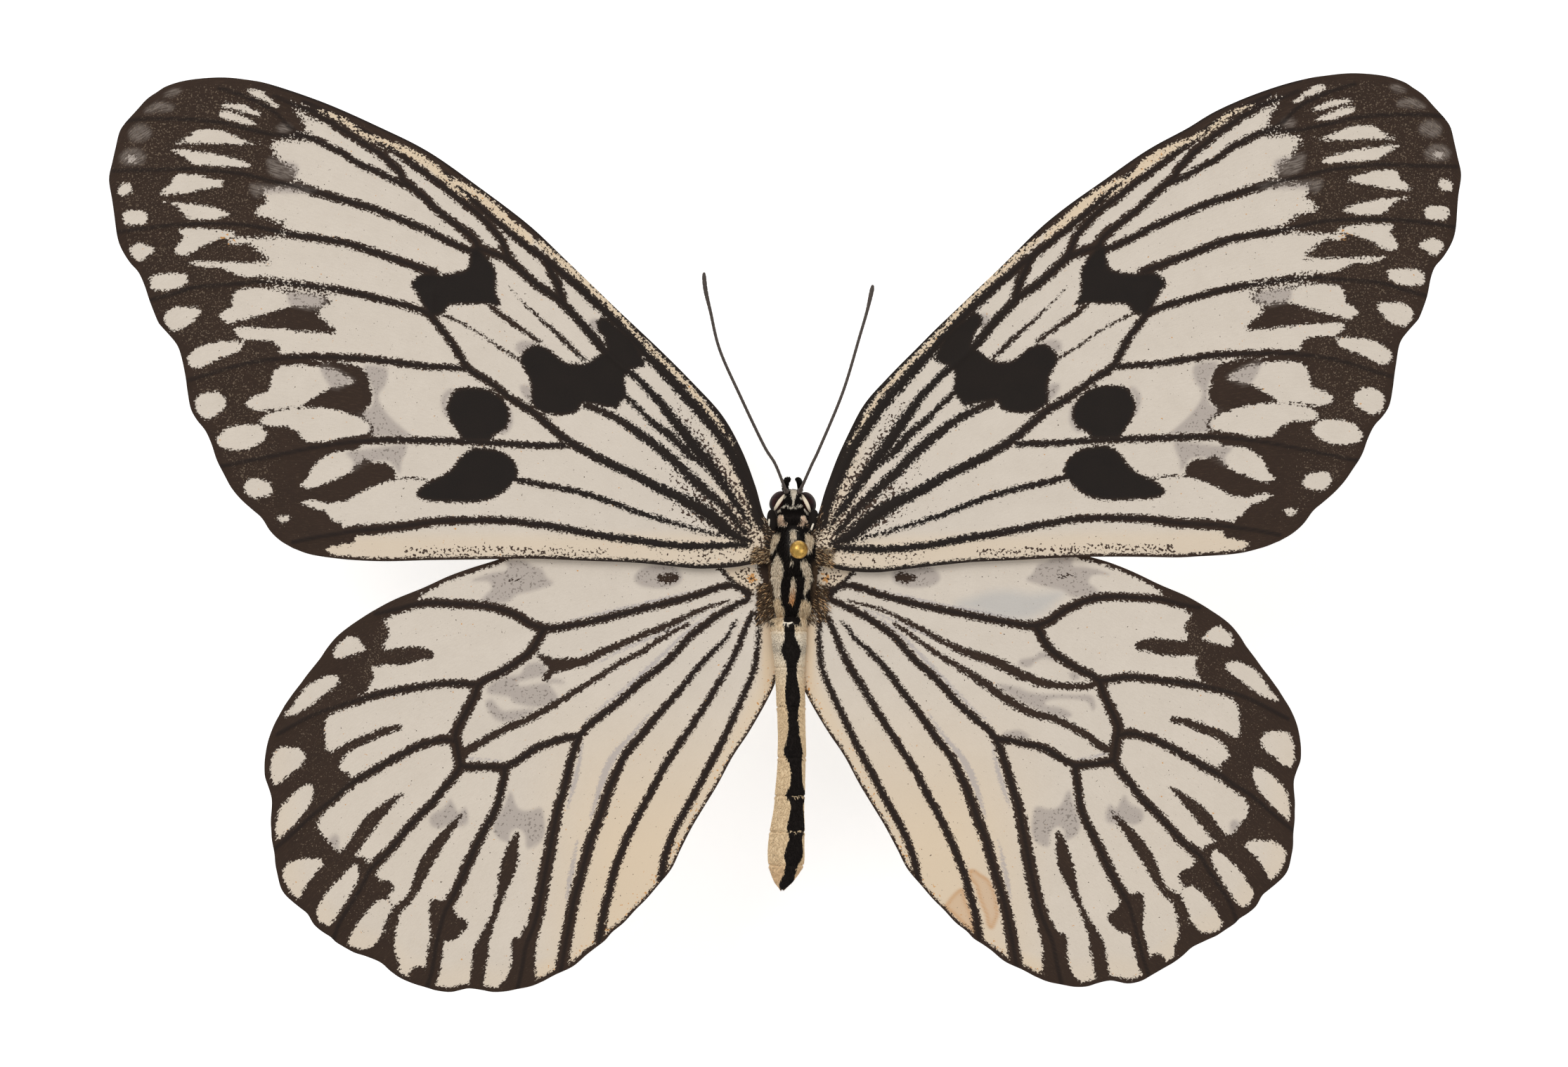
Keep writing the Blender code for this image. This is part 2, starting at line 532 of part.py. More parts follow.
def wing_plan(edge, veins):
    """The wing's outline, its veins and the feet of their ridges, as one plan of triangles."""
    start, end = np.array(edge[-1]), np.array(edge[0])
    count = round(np.linalg.norm(end - start) / ROOT_STEP)
    root = [start + (end - start) * i / count for i in range(1, count)]
    rim = np.vstack([smooth_path(edge, RIM_STEP), root])
    lines = vein_lines(veins.values())
    points = [Vector(point) for point in rim]
    edges = []
    index = {}
    for name, line in zip(veins, lines):
        if name == "costa":
            continue
        row = []
        for point in line:
            key = tuple(np.round(point, 4))
            if key not in index:
                index[key] = len(points)
                points.append(Vector(point))
            row.append(index[key])
        edges += list(zip(row, row[1:]))
    closed_rim = np.vstack([rim, rim[:1]])
    feet = []
    for line in lines:
        direction = np.gradient(line, axis=0)
        direction /= np.linalg.norm(direction, axis=1, keepdims=True)
        across = np.column_stack([-direction[:, 1], direction[:, 0]]) * RIDGE_HALF_WIDTH
        for foot in np.vstack([line + across, line - across]):
            if distance_to_lines(foot, lines) < 0.8 * RIDGE_HALF_WIDTH or not inside(foot, rim):
                continue
            if distance_to_lines(foot, [closed_rim]) < 0.8 * RIDGE_HALF_WIDTH:
                continue
            if feet and np.linalg.norm(np.array(feet) - foot, axis=1).min() < RIDGE_HALF_WIDTH:
                continue
            feet.append(foot)
    points += [Vector(foot) for foot in feet]
    face = list(range(len(rim)))
    plan, _, triangles, *_ = delaunay_2d_cdt(points, edges, [face], 1, 0.02)
    plan = np.array([tuple(point) for point in plan])
    away = np.array([distance_to_lines(point, lines) for point in plan])
    heights = np.maximum(0.0, 1 - away / RIDGE_HALF_WIDTH)
    return plan, [tuple(triangle) for triangle in triangles], heights


def make_wing(kind, side, surface):
    """One wing: a thin sheet with its veins raised on both faces, cut to the body's side at the root."""
    edge, veins, lift, shifts = WINGS[kind]
    if side == RIGHT:
        edge = shifted(mirrored(edge), shifts)
        veins = {vein: shifted(mirrored(points), shifts) for vein, points in veins.items()}
    plan, triangles, heights = wing_plan(edge, veins)
    sign = 1 if side == RIGHT else -1
    bm = bmesh.new()
    faces = {}
    for face, ridge in ((1, RIDGE_TOP), (-1, RIDGE_UNDER)):
        faces[face] = []
        for (x, y), height in zip(plan, heights):
            root = math.exp(-max(0.0, abs(x) - ROOT_X) / ROOT_FADE)
            half = (WING_THICKNESS + ROOT_THICKENING * root) / 2
            z = wing_middle(x, lift) + face * (half + ridge * height)
            if y < PROTHORAX_SECTIONS[0][0]:
                x = sign * max(sign * x, body_side(y, z, side) + GAP)
            faces[face].append(bm.verts.new((x, y, z)))
    uses = {}
    for triangle in triangles:
        for a, b in zip(triangle, triangle[1:] + triangle[:1]):
            uses.setdefault(frozenset((a, b)), []).append((a, b))
        bm.faces.new([faces[1][i] for i in triangle])
        bm.faces.new([faces[-1][i] for i in reversed(triangle)])
    for (a, b), *others in uses.values():
        if not others:
            bm.faces.new((faces[1][b], faces[1][a], faces[-1][a]))
            bm.faces.new((faces[1][b], faces[-1][a], faces[-1][b]))
    name = kind + "_" + side
    finish_object(name, mesh_from(name, bm), surface)


def make_wings():
    cream = material("cream_wing_scales", (0.68, 0.62, 0.54), 0.7)
    for side in (LEFT, RIGHT):
        for kind in WINGS:
            make_wing(kind, side, cream)


def make_stand():
    """The brass pin with its ball head, and the plain base that it stands in."""
    brass = material("brass_pin", (0.6, 0.42, 0.16), 0.3, 1.0)
    painted = material("pale_painted_base", (0.75, 0.74, 0.71), 0.5)
    low = BASE_HEIGHT - PIN_DEPTH_IN_BASE
    ball_z = PIN_TOP_Z - PIN_HEAD_RADIUS
    neck = math.asin(PIN_RADIUS / PIN_HEAD_RADIUS)
    profile = [(PIN_RADIUS * 0.4, low), (PIN_RADIUS, low + 1.0)]
    for angle in np.linspace(-math.pi / 2 + neck, math.pi / 2 * 0.93, 9):
        profile.append((PIN_HEAD_RADIUS * math.cos(angle), ball_z + PIN_HEAD_RADIUS * math.sin(angle)))
    turn = np.linspace(0, 2 * math.pi, 16, endpoint=False)
    x, y = PIN_XY
    bm = bmesh.new()
    loft(bm, [[(x + r * math.cos(a), y + r * math.sin(a), z) for a in turn] for r, z in profile])
    finish_object("stand_pin", mesh_from("stand_pin", bm), brass)

    bm = bmesh.new()
    bmesh.ops.create_cube(bm, size=1.0)
    bmesh.ops.scale(bm, vec=(BASE_LENGTH, BASE_WIDTH, BASE_HEIGHT), verts=bm.verts)
    bmesh.ops.translate(bm, vec=(0, BASE_CENTRE_Y, BASE_HEIGHT / 2), verts=bm.verts)
    upright = [edge for edge in bm.edges if abs(edge.verts[0].co.z - edge.verts[1].co.z) > 1]
    bmesh.ops.bevel(bm, geom=upright, offset=BASE_CORNER, segments=6, affect="EDGES", profile=0.5)
    top = [edge for edge in bm.edges if min(vert.co.z for vert in edge.verts) > BASE_HEIGHT - 0.01]
    bmesh.ops.bevel(bm, geom=top, offset=BASE_BEVEL, segments=2, affect="EDGES", profile=0.5)
    base = finish_object("stand_base", mesh_from("stand_base", bm), painted)
    cut(base, round_bar("pin_hole", PIN_XY, PIN_RADIUS + GAP, low - GAP, BASE_HEIGHT + 1, hidden=True))


def main():
    clear_scene()
    make_body()
    make_head()
    make_feelers()
    make_legs()
    make_wings()
    make_stand()


main()
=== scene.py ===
"""Looks of a set tree nymph butterfly on a pin and a small base.

Lengths are in millimetres in the tables and in metres in the meshes. The wings are drawn once, with x
running outward from the body, and laid out for the left side. The right side is the same drawing moved
by a few tenths, as set wings differ, and its hind wing has some marks of its own.
"""

import bpy
import numpy as np
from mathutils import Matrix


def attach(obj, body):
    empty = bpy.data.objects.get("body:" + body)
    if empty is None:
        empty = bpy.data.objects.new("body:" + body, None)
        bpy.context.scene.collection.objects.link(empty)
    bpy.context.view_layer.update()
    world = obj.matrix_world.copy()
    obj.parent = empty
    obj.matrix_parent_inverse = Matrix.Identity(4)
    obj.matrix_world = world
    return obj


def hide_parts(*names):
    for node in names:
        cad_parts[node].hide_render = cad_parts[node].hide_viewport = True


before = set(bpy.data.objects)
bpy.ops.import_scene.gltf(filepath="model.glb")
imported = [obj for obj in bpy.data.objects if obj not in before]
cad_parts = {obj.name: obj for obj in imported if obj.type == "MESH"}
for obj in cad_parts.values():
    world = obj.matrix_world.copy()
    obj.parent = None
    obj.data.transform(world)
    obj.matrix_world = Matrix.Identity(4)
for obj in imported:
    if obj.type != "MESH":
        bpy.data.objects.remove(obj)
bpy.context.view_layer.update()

MM = 0.001
TAU = 2 * np.pi
# How far a distance to a line or an outline is followed
REACH = 3.0
WING_Z = 30.0
# Margin and width of the drawing on a UV map
LAYOUT_EDGE = 0.003
LAYOUT_WIDTH = 0.99


def xy(*values):
    """Points of a line or an outline: x and y in turn."""
    return np.array(values, float).reshape(-1, 2)


# Edges of the wings, x outward from the body

FOREWING_EDGES = {
    "leading": xy(
        1.6, 2.4, 2.7, 3, 3.6, 6, 4.9, 9.4, 6.8, 12.8, 9.7, 16, 12.9, 19.2, 16.5, 22.6, 19.3, 25.3,
        22, 27.9, 25.4, 31.1, 30, 34.6, 35, 38.1, 40, 40.6, 45, 42.8, 50, 44.5, 52.5, 45, 55, 45.2,
        58, 44.95, 60, 44.4, 61, 43.8, 62, 43.1, 63, 42, 64, 40.9),
    "outer": xy(
        48, 0, 49.2, 0.7, 50.2, 1.65, 51, 2.9, 51.9, 3.7, 53, 4.7, 53.9, 5.8, 54.6, 7.1, 55.3, 8.5,
        55.8, 10, 56.4, 11.3, 57.2, 12.3, 57.8, 13.4, 58.1, 15, 58.3, 16.5, 58.7, 18.4, 59.1, 19.5,
        59.8, 20.4, 60.7, 21.4, 61, 21.9, 61.7, 23.7, 62.2, 25.2, 62.8, 26.5, 63.6, 27.4, 64.4, 28.7,
        64.8, 29.9, 65.1, 32, 65.3, 33.4, 65.6, 35.4, 65.3, 37, 65, 38.4, 64.6, 40, 64, 40.9),
    "inner": xy(
        1.6, -1.2, 3.8, -1.5, 5.5, -1.8, 8, -1.95, 10, -1.9, 15, -1.4, 20, -1.2, 25, -1, 30, -1.08,
        35, -1.15, 39, -1.25, 42, -1.15, 44.5, -0.9, 46.5, -0.55, 48, 0),
    "root": xy(1.6, -1.2, 1.6, 0, 1.6, 1.2, 1.6, 2.4),
}
HINDWING_EDGES = {
    "leading": xy(
        1.6, -1.9, 3.5, -1, 10, 1.2, 18, 1.4, 24, 0.4, 27, -0.5, 28.6, -1.15, 31, -1.9, 33.2, -2.7,
        35.6, -3.8, 38.3, -4.9, 40.2, -5.9, 41.5, -6.7, 42.95, -7.7, 44, -8.6, 44.9, -9.7, 45.5, -10.6,
        46.7, -12.1, 47.4, -13.05, 48.1, -13.95, 48.9, -15.1),
    "outer": xy(
        24, -41.7, 25.2, -42.2, 26.7, -42.5, 27.7, -42.7, 28.95, -42.75, 30, -42.55, 31.2, -42.4,
        32, -42.55, 33, -42.75, 34.3, -42.6, 35.3, -42.3, 36.5, -41.95, 37.8, -41.4, 38.8, -40.7,
        39.7, -39.9, 41.1, -39.3, 42.2, -38.95, 43.2, -38.4, 44, -37.9, 44.5, -37.4, 45.3, -36.9,
        46.1, -36.2, 46.7, -35.2, 47.35, -34.65, 48.1, -34.05, 48.85, -33.35, 49.3, -32.6, 49.6, -31.4,
        49.8, -30.4, 49.9, -29.3, 50.15, -28, 50.2, -27.2, 50.25, -26.2, 50.15, -24.75, 50.2, -23.9,
        50.5, -22.9, 50.8, -22, 50.85, -21.1, 50.8, -20.2, 50.6, -19, 50.35, -18.1, 49.9, -16.95, 49.4, -16,
        48.9, -15.1),
    "inner": xy(
        1.65, -12.6, 1.85, -13.4, 2.6, -14.9, 3.5, -16.5, 4.4, -18, 5.8, -20.1, 7.2, -22.7, 8.5, -24.85,
        9.7, -26.85, 10.8, -29, 11.7, -30.9, 13, -32.5, 14.1, -33.8, 15.2, -34.9, 16.3, -36.1, 17.4, -37,
        18.1, -37.8, 19, -38.5, 19.9, -39.2, 21.2, -40.3, 22.9, -41.1, 24, -41.7),
    "root": xy(1.65, -12.6, 1.6, -9, 1.6, -5.5, 1.6, -1.9),
}

# Veins and lines: half widths spaced evenly along the line, then the line

FOREWING_VEINS = {
    "costa": ((1.2, 0.8, 0.3, 0.27, 0.35, 0.6, 0.8, 0.85, 0.95, 1.0), FOREWING_EDGES["leading"][1:16]),
    "subcosta": ((0.4, 0.58, 0.6, 0.5, 0.52, 0.5, 0.55, 0.5, 0.45, 0.42, 0.38, 0.36, 0.33, 0.28), xy(
        2.9, 2, 3.4, 3.4, 3.9, 4.8, 4.5, 6.4, 5.15, 7.8, 5.85, 9.15, 6.6, 10.35, 7.5, 11.4, 8.4, 12.5,
        9.2, 13.5, 10.6, 15, 12.6, 17.2, 14.4, 19.1, 16, 20.8, 17.6, 22.4, 19, 23.7, 20.3, 24.9, 21.6, 26,
        22.8, 27, 24.3, 28.1, 25.5, 29, 27.5, 30.6, 29.5, 32.3, 31, 33.7, 32.4, 35, 33.4, 36)),
    "radius": ((0.06, 0.36, 0.48, 0.55, 0.5, 0.4, 0.3, 0.35, 0.45, 0.42, 0.42, 0.42, 0.4, 0.5), xy(
        3.9, 2, 4.5, 2.9, 5.4, 4.2, 6.3, 5.6, 7.3, 7, 8.3, 8.4, 9.3, 9.6, 10.3, 10.9, 11.2, 12, 12, 13,
        12.9, 14.2, 13.8, 15.1, 14.8, 16.2, 15.7, 16.9, 17, 18, 18.4, 19.3, 19.05, 20.1, 20.1, 21.4,
        21.4, 22.8, 22.6, 24, 24, 24.9, 25.3, 25.9, 26.6, 27.1, 27.9, 28, 29.2, 28.5, 30.3, 28.9)),
    "first_radial": ((0.5, 0.45, 0.4), xy(22.2, 23.9, 22.6, 25.4, 23.1, 26.3, 23.6, 27.4, 24.3, 28.2)),
    "second_radial": ((0.45, 0.4, 0.42, 0.4, 0.35, 0.4, 0.42, 0.4, 0.4), xy(
        26.6, 27.1, 27.4, 28.1, 27.7, 28.9, 28.2, 29.9, 28.8, 30.6, 29.5, 31.4, 30.3, 32.2, 31.2, 32.9,
        32, 33.5, 33, 34.3, 34, 35.1, 35, 35.8, 36, 36.5, 37, 37.3, 38, 38.1, 39.4, 38.9, 40.4, 39.6,
        42, 40.5, 43.5, 41.3, 45.3, 42.1, 47, 42.9)),
    "radial_stalk": ((0.6, 0.42, 0.4, 0.4, 0.5), xy(
        30.3, 28.9, 30.5, 29.5, 31.2, 30.2, 32.2, 31, 33.3, 31.8, 34.4, 32.7, 35.3, 33.6, 36.2, 34.4,
        37.4, 35.3)),
    "fourth_radial": ((0.4, 0.42, 0.4, 0.38, 0.4), xy(
        37.4, 35.3, 37.8, 36.2, 38.6, 37, 39.6, 37.9, 40.6, 38.5, 41.8, 39.3, 43, 40, 44.2, 40.8,
        45.3, 41.4, 46.4, 42, 47.6, 42.5, 49.8, 43.4)),
    "third_radial": ((0.3, 0.32, 0.33, 0.33, 0.35, 0.3), xy(
        36.8, 34.8, 38, 35.2, 39, 35.7, 40, 36.2, 41.2, 36.7, 42.4, 37.4, 43.5, 38.1, 44.6, 38.6,
        45.8, 39.2, 47, 39.7, 48.3, 40.4, 49.8, 41.9, 52.2, 43.2, 55.1, 44.2)),
    "fifth_radial": ((0.35, 0.35, 0.3, 0.25, 0.2), xy(
        46.5, 39.4, 48, 39.55, 50, 39.75, 52, 40.15, 54, 40.65, 56, 41, 58, 41.15, 60, 41.2, 62, 41.2,
        64, 41)),
    "first_median": ((0.4, 0.35, 0.36, 0.38, 0.42, 0.5, 0.45, 0.35, 0.25), xy(
        30.6, 28.6, 31.3, 28.7, 32.2, 29.1, 33.1, 29.5, 34.5, 30.2, 35.7, 30.8, 37, 31.3, 38.2, 31.8,
        40.6, 32.7, 43, 33.4, 45.4, 34.1, 47.8, 34.8, 50.3, 35.3, 52.7, 35.9, 55.1, 36.2, 58.3, 36.4,
        61, 36.3, 65.2, 36.2)),
    "second_median": ((0.45, 0.38, 0.36, 0.36, 0.4, 0.35, 0.25), xy(
        34.5, 26.5, 35.7, 26.9, 37.7, 27.6, 40.1, 28.4, 42.5, 29.2, 44.9, 29.65, 47.4, 30, 49.8, 30.5,
        52.2, 31, 54.6, 31.1, 57, 31.1, 59.5, 31, 61.9, 30.7, 64.9, 30.3)),
    "third_median": ((0.4, 0.33, 0.33, 0.35, 0.36, 0.35, 0.3, 0.2), xy(
        34.3, 21.8, 35.2, 22.6, 36.7, 23.2, 38.7, 23.7, 41.1, 24.3, 43.5, 24.8, 45.9, 25.1, 48.3, 25.4,
        50.8, 25.6, 53.2, 25.4, 55.6, 25.2, 57.5, 25, 59.5, 24.4, 61.6, 23.8)),
    "first_cubital": ((0.3, 0.3, 0.33, 0.36, 0.36, 0.36, 0.3, 0.25), xy(
        31.6, 17.3, 35.2, 17.5, 37.7, 17.8, 40.1, 18.1, 42.5, 18.3, 47.4, 18.35, 49.8, 18.15, 52.2, 17.8,
        54.1, 17.3, 56.1, 16.7, 58.1, 16.1)),
    "second_cubital": ((0.3, 0.3, 0.3, 0.33, 0.36, 0.36, 0.3), xy(
        22, 9.9, 25, 9.9, 30, 10.2, 35, 10.35, 39.1, 10.4, 41.5, 10.3, 44, 10, 46.4, 9.6, 48.8, 9.1,
        51.2, 8.6, 53.7, 8.1, 55.2, 7.8)),
    "cubitus": ((0.2, 0.68, 0.62, 0.48, 0.42, 0.42, 0.4, 0.42, 0.4, 0.36, 0.36, 0.36, 0.36, 0.5), xy(
        4.2, 0.65, 5.6, 1.25, 6.5, 1.85, 7.5, 2.8, 8.5, 3.5, 9.8, 4.3, 11, 4.9, 12.5, 5.6, 14, 6.4,
        15.5, 7.2, 17.1, 7.9, 19.6, 9.15, 21.6, 10.3, 23.1, 11.5, 25, 13.1, 27.1, 14.4, 29.1, 15.95,
        31.1, 17.2, 32.1, 18.7, 33.1, 20.2, 34.2, 21.6, 34.7, 22.4, 34.7, 24.5)),
    "fold": ((0.1, 0.18, 0.22, 0.25, 0.25, 0.28), xy(
        7, 1.2, 8.5, 1.6, 10, 2, 12.6, 2.75, 15, 3.5, 17.1, 4.3, 19.6, 5.15, 22.1, 5.75, 24.6, 6.2,
        26.8, 6.7)),
    "anal": ((0.3, 0.33, 0.33, 0.33, 0.33, 0.36, 0.45, 0.5, 0.4), xy(
        4.5, 0.35, 7.5, 0.25, 10, 0.2, 12.5, 0.4, 15, 0.75, 17.6, 1.1, 20, 1.5, 22.6, 2, 25, 2.35,
        27.1, 2.6, 30, 2.7, 34, 2.6, 36.5, 2.25, 38.9, 1.95, 41.3, 1.75, 43.7, 1.4, 46, 1, 48, 0.6)),
}
FOREWING_LINES = {
    "cell_upper": ((0.3, 0.5, 0.42, 0.3, 0.3), xy(
        8.4, 7.9, 9.1, 8.5, 10, 9.15, 10.8, 9.9, 12, 11, 13, 11.7, 14, 12.6, 15, 13.6, 16.2, 14.7)),
    "cell_lower": ((0.3, 0.4, 0.5, 0.5, 0.5, 0.45, 0.4, 0.4), xy(
        4.6, 1.5, 5.6, 2.7, 6.4, 3.7, 7.2, 4.5, 8, 5.2, 9, 6.1, 10, 7, 11, 8, 12, 8.9, 13, 9.7, 14, 10.5,
        15, 11.2, 16, 11.9, 17, 12.5, 18, 13, 19.8, 13.8)),
    "cell_fuzzy": ((0.3, 0.3, 0.2), xy(29, 23.3, 28, 22.4, 27, 21.7, 26, 21, 25, 20.3, 24.4, 19.9)),
    "cell_dots": ((0.0, 0.1, 0.2, 0.28, 0.2), xy(
        27.3, 25.1, 26.7, 24.5, 25.8, 23.5, 24.8, 22.6, 23.8, 21.6, 22.6, 20.6, 21.6, 19.6, 20.6, 18.6,
        20.1, 18.2)),
    "cell_dashes": ((0.15, 0.12, 0.12, 0.18), xy(
        33.4, 22.4, 31.8, 21.6, 30.5, 20.9, 29.2, 20, 27.9, 19.1, 26.6, 18.3, 26, 18)),
    "hind_margin": ((0.5, 0.32, 0.32, 0.35), FOREWING_EDGES["inner"][1:]),
    "outer_margin": ((0.5, 0.5), FOREWING_EDGES["outer"]),
    "fold_dots": ((0.1, 0.1), xy(35.2, 6.6, 36.4, 6.7, 38.4, 6.6)),
}
# Blackest patches: outlines
FOREWING_PATCHES = {
    "cross_veins": xy(
        36.8, 25.3, 36.1, 26.2, 35.2, 26.5, 33.9, 26.4, 32.6, 26.5, 31.3, 27, 31, 28.6, 30.3, 29,
        29.2, 27.8, 28.5, 26.5, 28.5, 24.6, 28, 23.3, 29.5, 23.4, 31, 23.4, 32.9, 23.3, 33.6, 22.5,
        34.8, 22.3, 35.8, 23.7, 36.2, 24.5),
    "cell_bar": xy(
        25.9, 19, 24.9, 19.6, 23.9, 19.4, 23.2, 19, 22, 18, 20.7, 17.8, 19.6, 18, 18.7, 18.7, 18, 19,
        18.2, 20.2, 18.9, 21.1, 18.7, 22.1, 17.9, 22.2, 17, 21.5, 16.1, 20.8, 15.2, 19.9, 14.5, 18.6,
        14.1, 17.8, 14.6, 17.4, 15.6, 17.1, 16.1, 16.4, 16, 15.3, 15.9, 14.6, 16.6, 13.9, 16.9, 13.4,
        18.1, 13.6, 20.2, 13.9, 20.5, 13.3, 21.7, 12.8, 23.8, 12.9, 25.1, 13.8, 25.3, 15.9, 25.9, 17.2,
        26.3, 18),
    "round_spot": xy(
        32.9, 14.7, 32.4, 15.3, 31.5, 15.5, 30.3, 15.5, 29.2, 15.3, 28.2, 14.7, 27.4, 13.7, 27.2, 12.8,
        27.3, 12, 27.8, 11.3, 28.8, 10.8, 29, 10.3, 31.6, 10.3, 32, 10.8, 32.7, 11.8, 33.2, 12.8,
        33.3, 13.6),
    "fold_spot": xy(
        36.2, 5.3, 35.7, 5.9, 34.9, 6.5, 33.8, 7, 32.8, 7.7, 31.9, 8.9, 31.1, 9.5, 30.3, 9.7, 29, 9.6,
        27.9, 9.3, 26.8, 8.4, 26.4, 7.1, 27.2, 5.9, 28.5, 4.9, 30.3, 4.4, 32.6, 4.4, 34.7, 4.5, 35.9, 4.8),
}
# The dark border of the forewing: its inner side, wavering round the light fields that reach into it
FOREWING_BORDER = xy(
    47.6, 46, 47.8, 43, 47.4, 41.6, 46.9, 41.1, 46.8, 40.3, 47.2, 39.8, 49.9, 38.95, 49.7, 38.2, 49.4, 37.5,
    48.7, 37, 47.9, 36.3, 47.9, 35.2, 49.6, 34.6, 50.9, 34.3, 50.6, 33.5, 50.9, 32.9, 51.6, 32.4, 51.4, 32,
    50.5, 31.8, 49.5, 31.4, 48.8, 31.2, 49.5, 29.9, 53.8, 29.8, 54.3, 29.4, 53.4, 29.2, 52.4, 29.3,
    51.8, 29, 51.2, 28.5, 50.5, 28, 50.3, 27.3, 50.5, 26, 49, 25, 47, 24.5, 45.2, 24.3, 44.6, 23.6,
    45.6, 22.9, 45.2, 22, 44.9, 21.8, 43.9, 20.7, 45.5, 20.6, 47.6, 20.2, 48.6, 19.4, 49.3, 18.9, 48, 18.4,
    42.4, 17.6, 41, 16.9, 40.6, 15.4, 40.4, 14.2, 41.1, 13.3, 41.2, 12.6, 40.4, 11.9, 40.3, 11.2, 41, 10.2,
    42, 9.2, 40.5, 8.3, 39.2, 8.2, 38.4, 7.7, 38.2, 6.9, 39, 6.4, 40.2, 6, 41.4, 5.4, 42.3, 4.9, 43, 4.5,
    44.3, 4.3, 43.6, 3, 43, 1.6, 42.1, 1.1, 42.2, 0.6, 43.5, 0.3, 44.8, -0.1, 44.3, -0.6, 44.4, -2, 70, -2,
    70, 46)
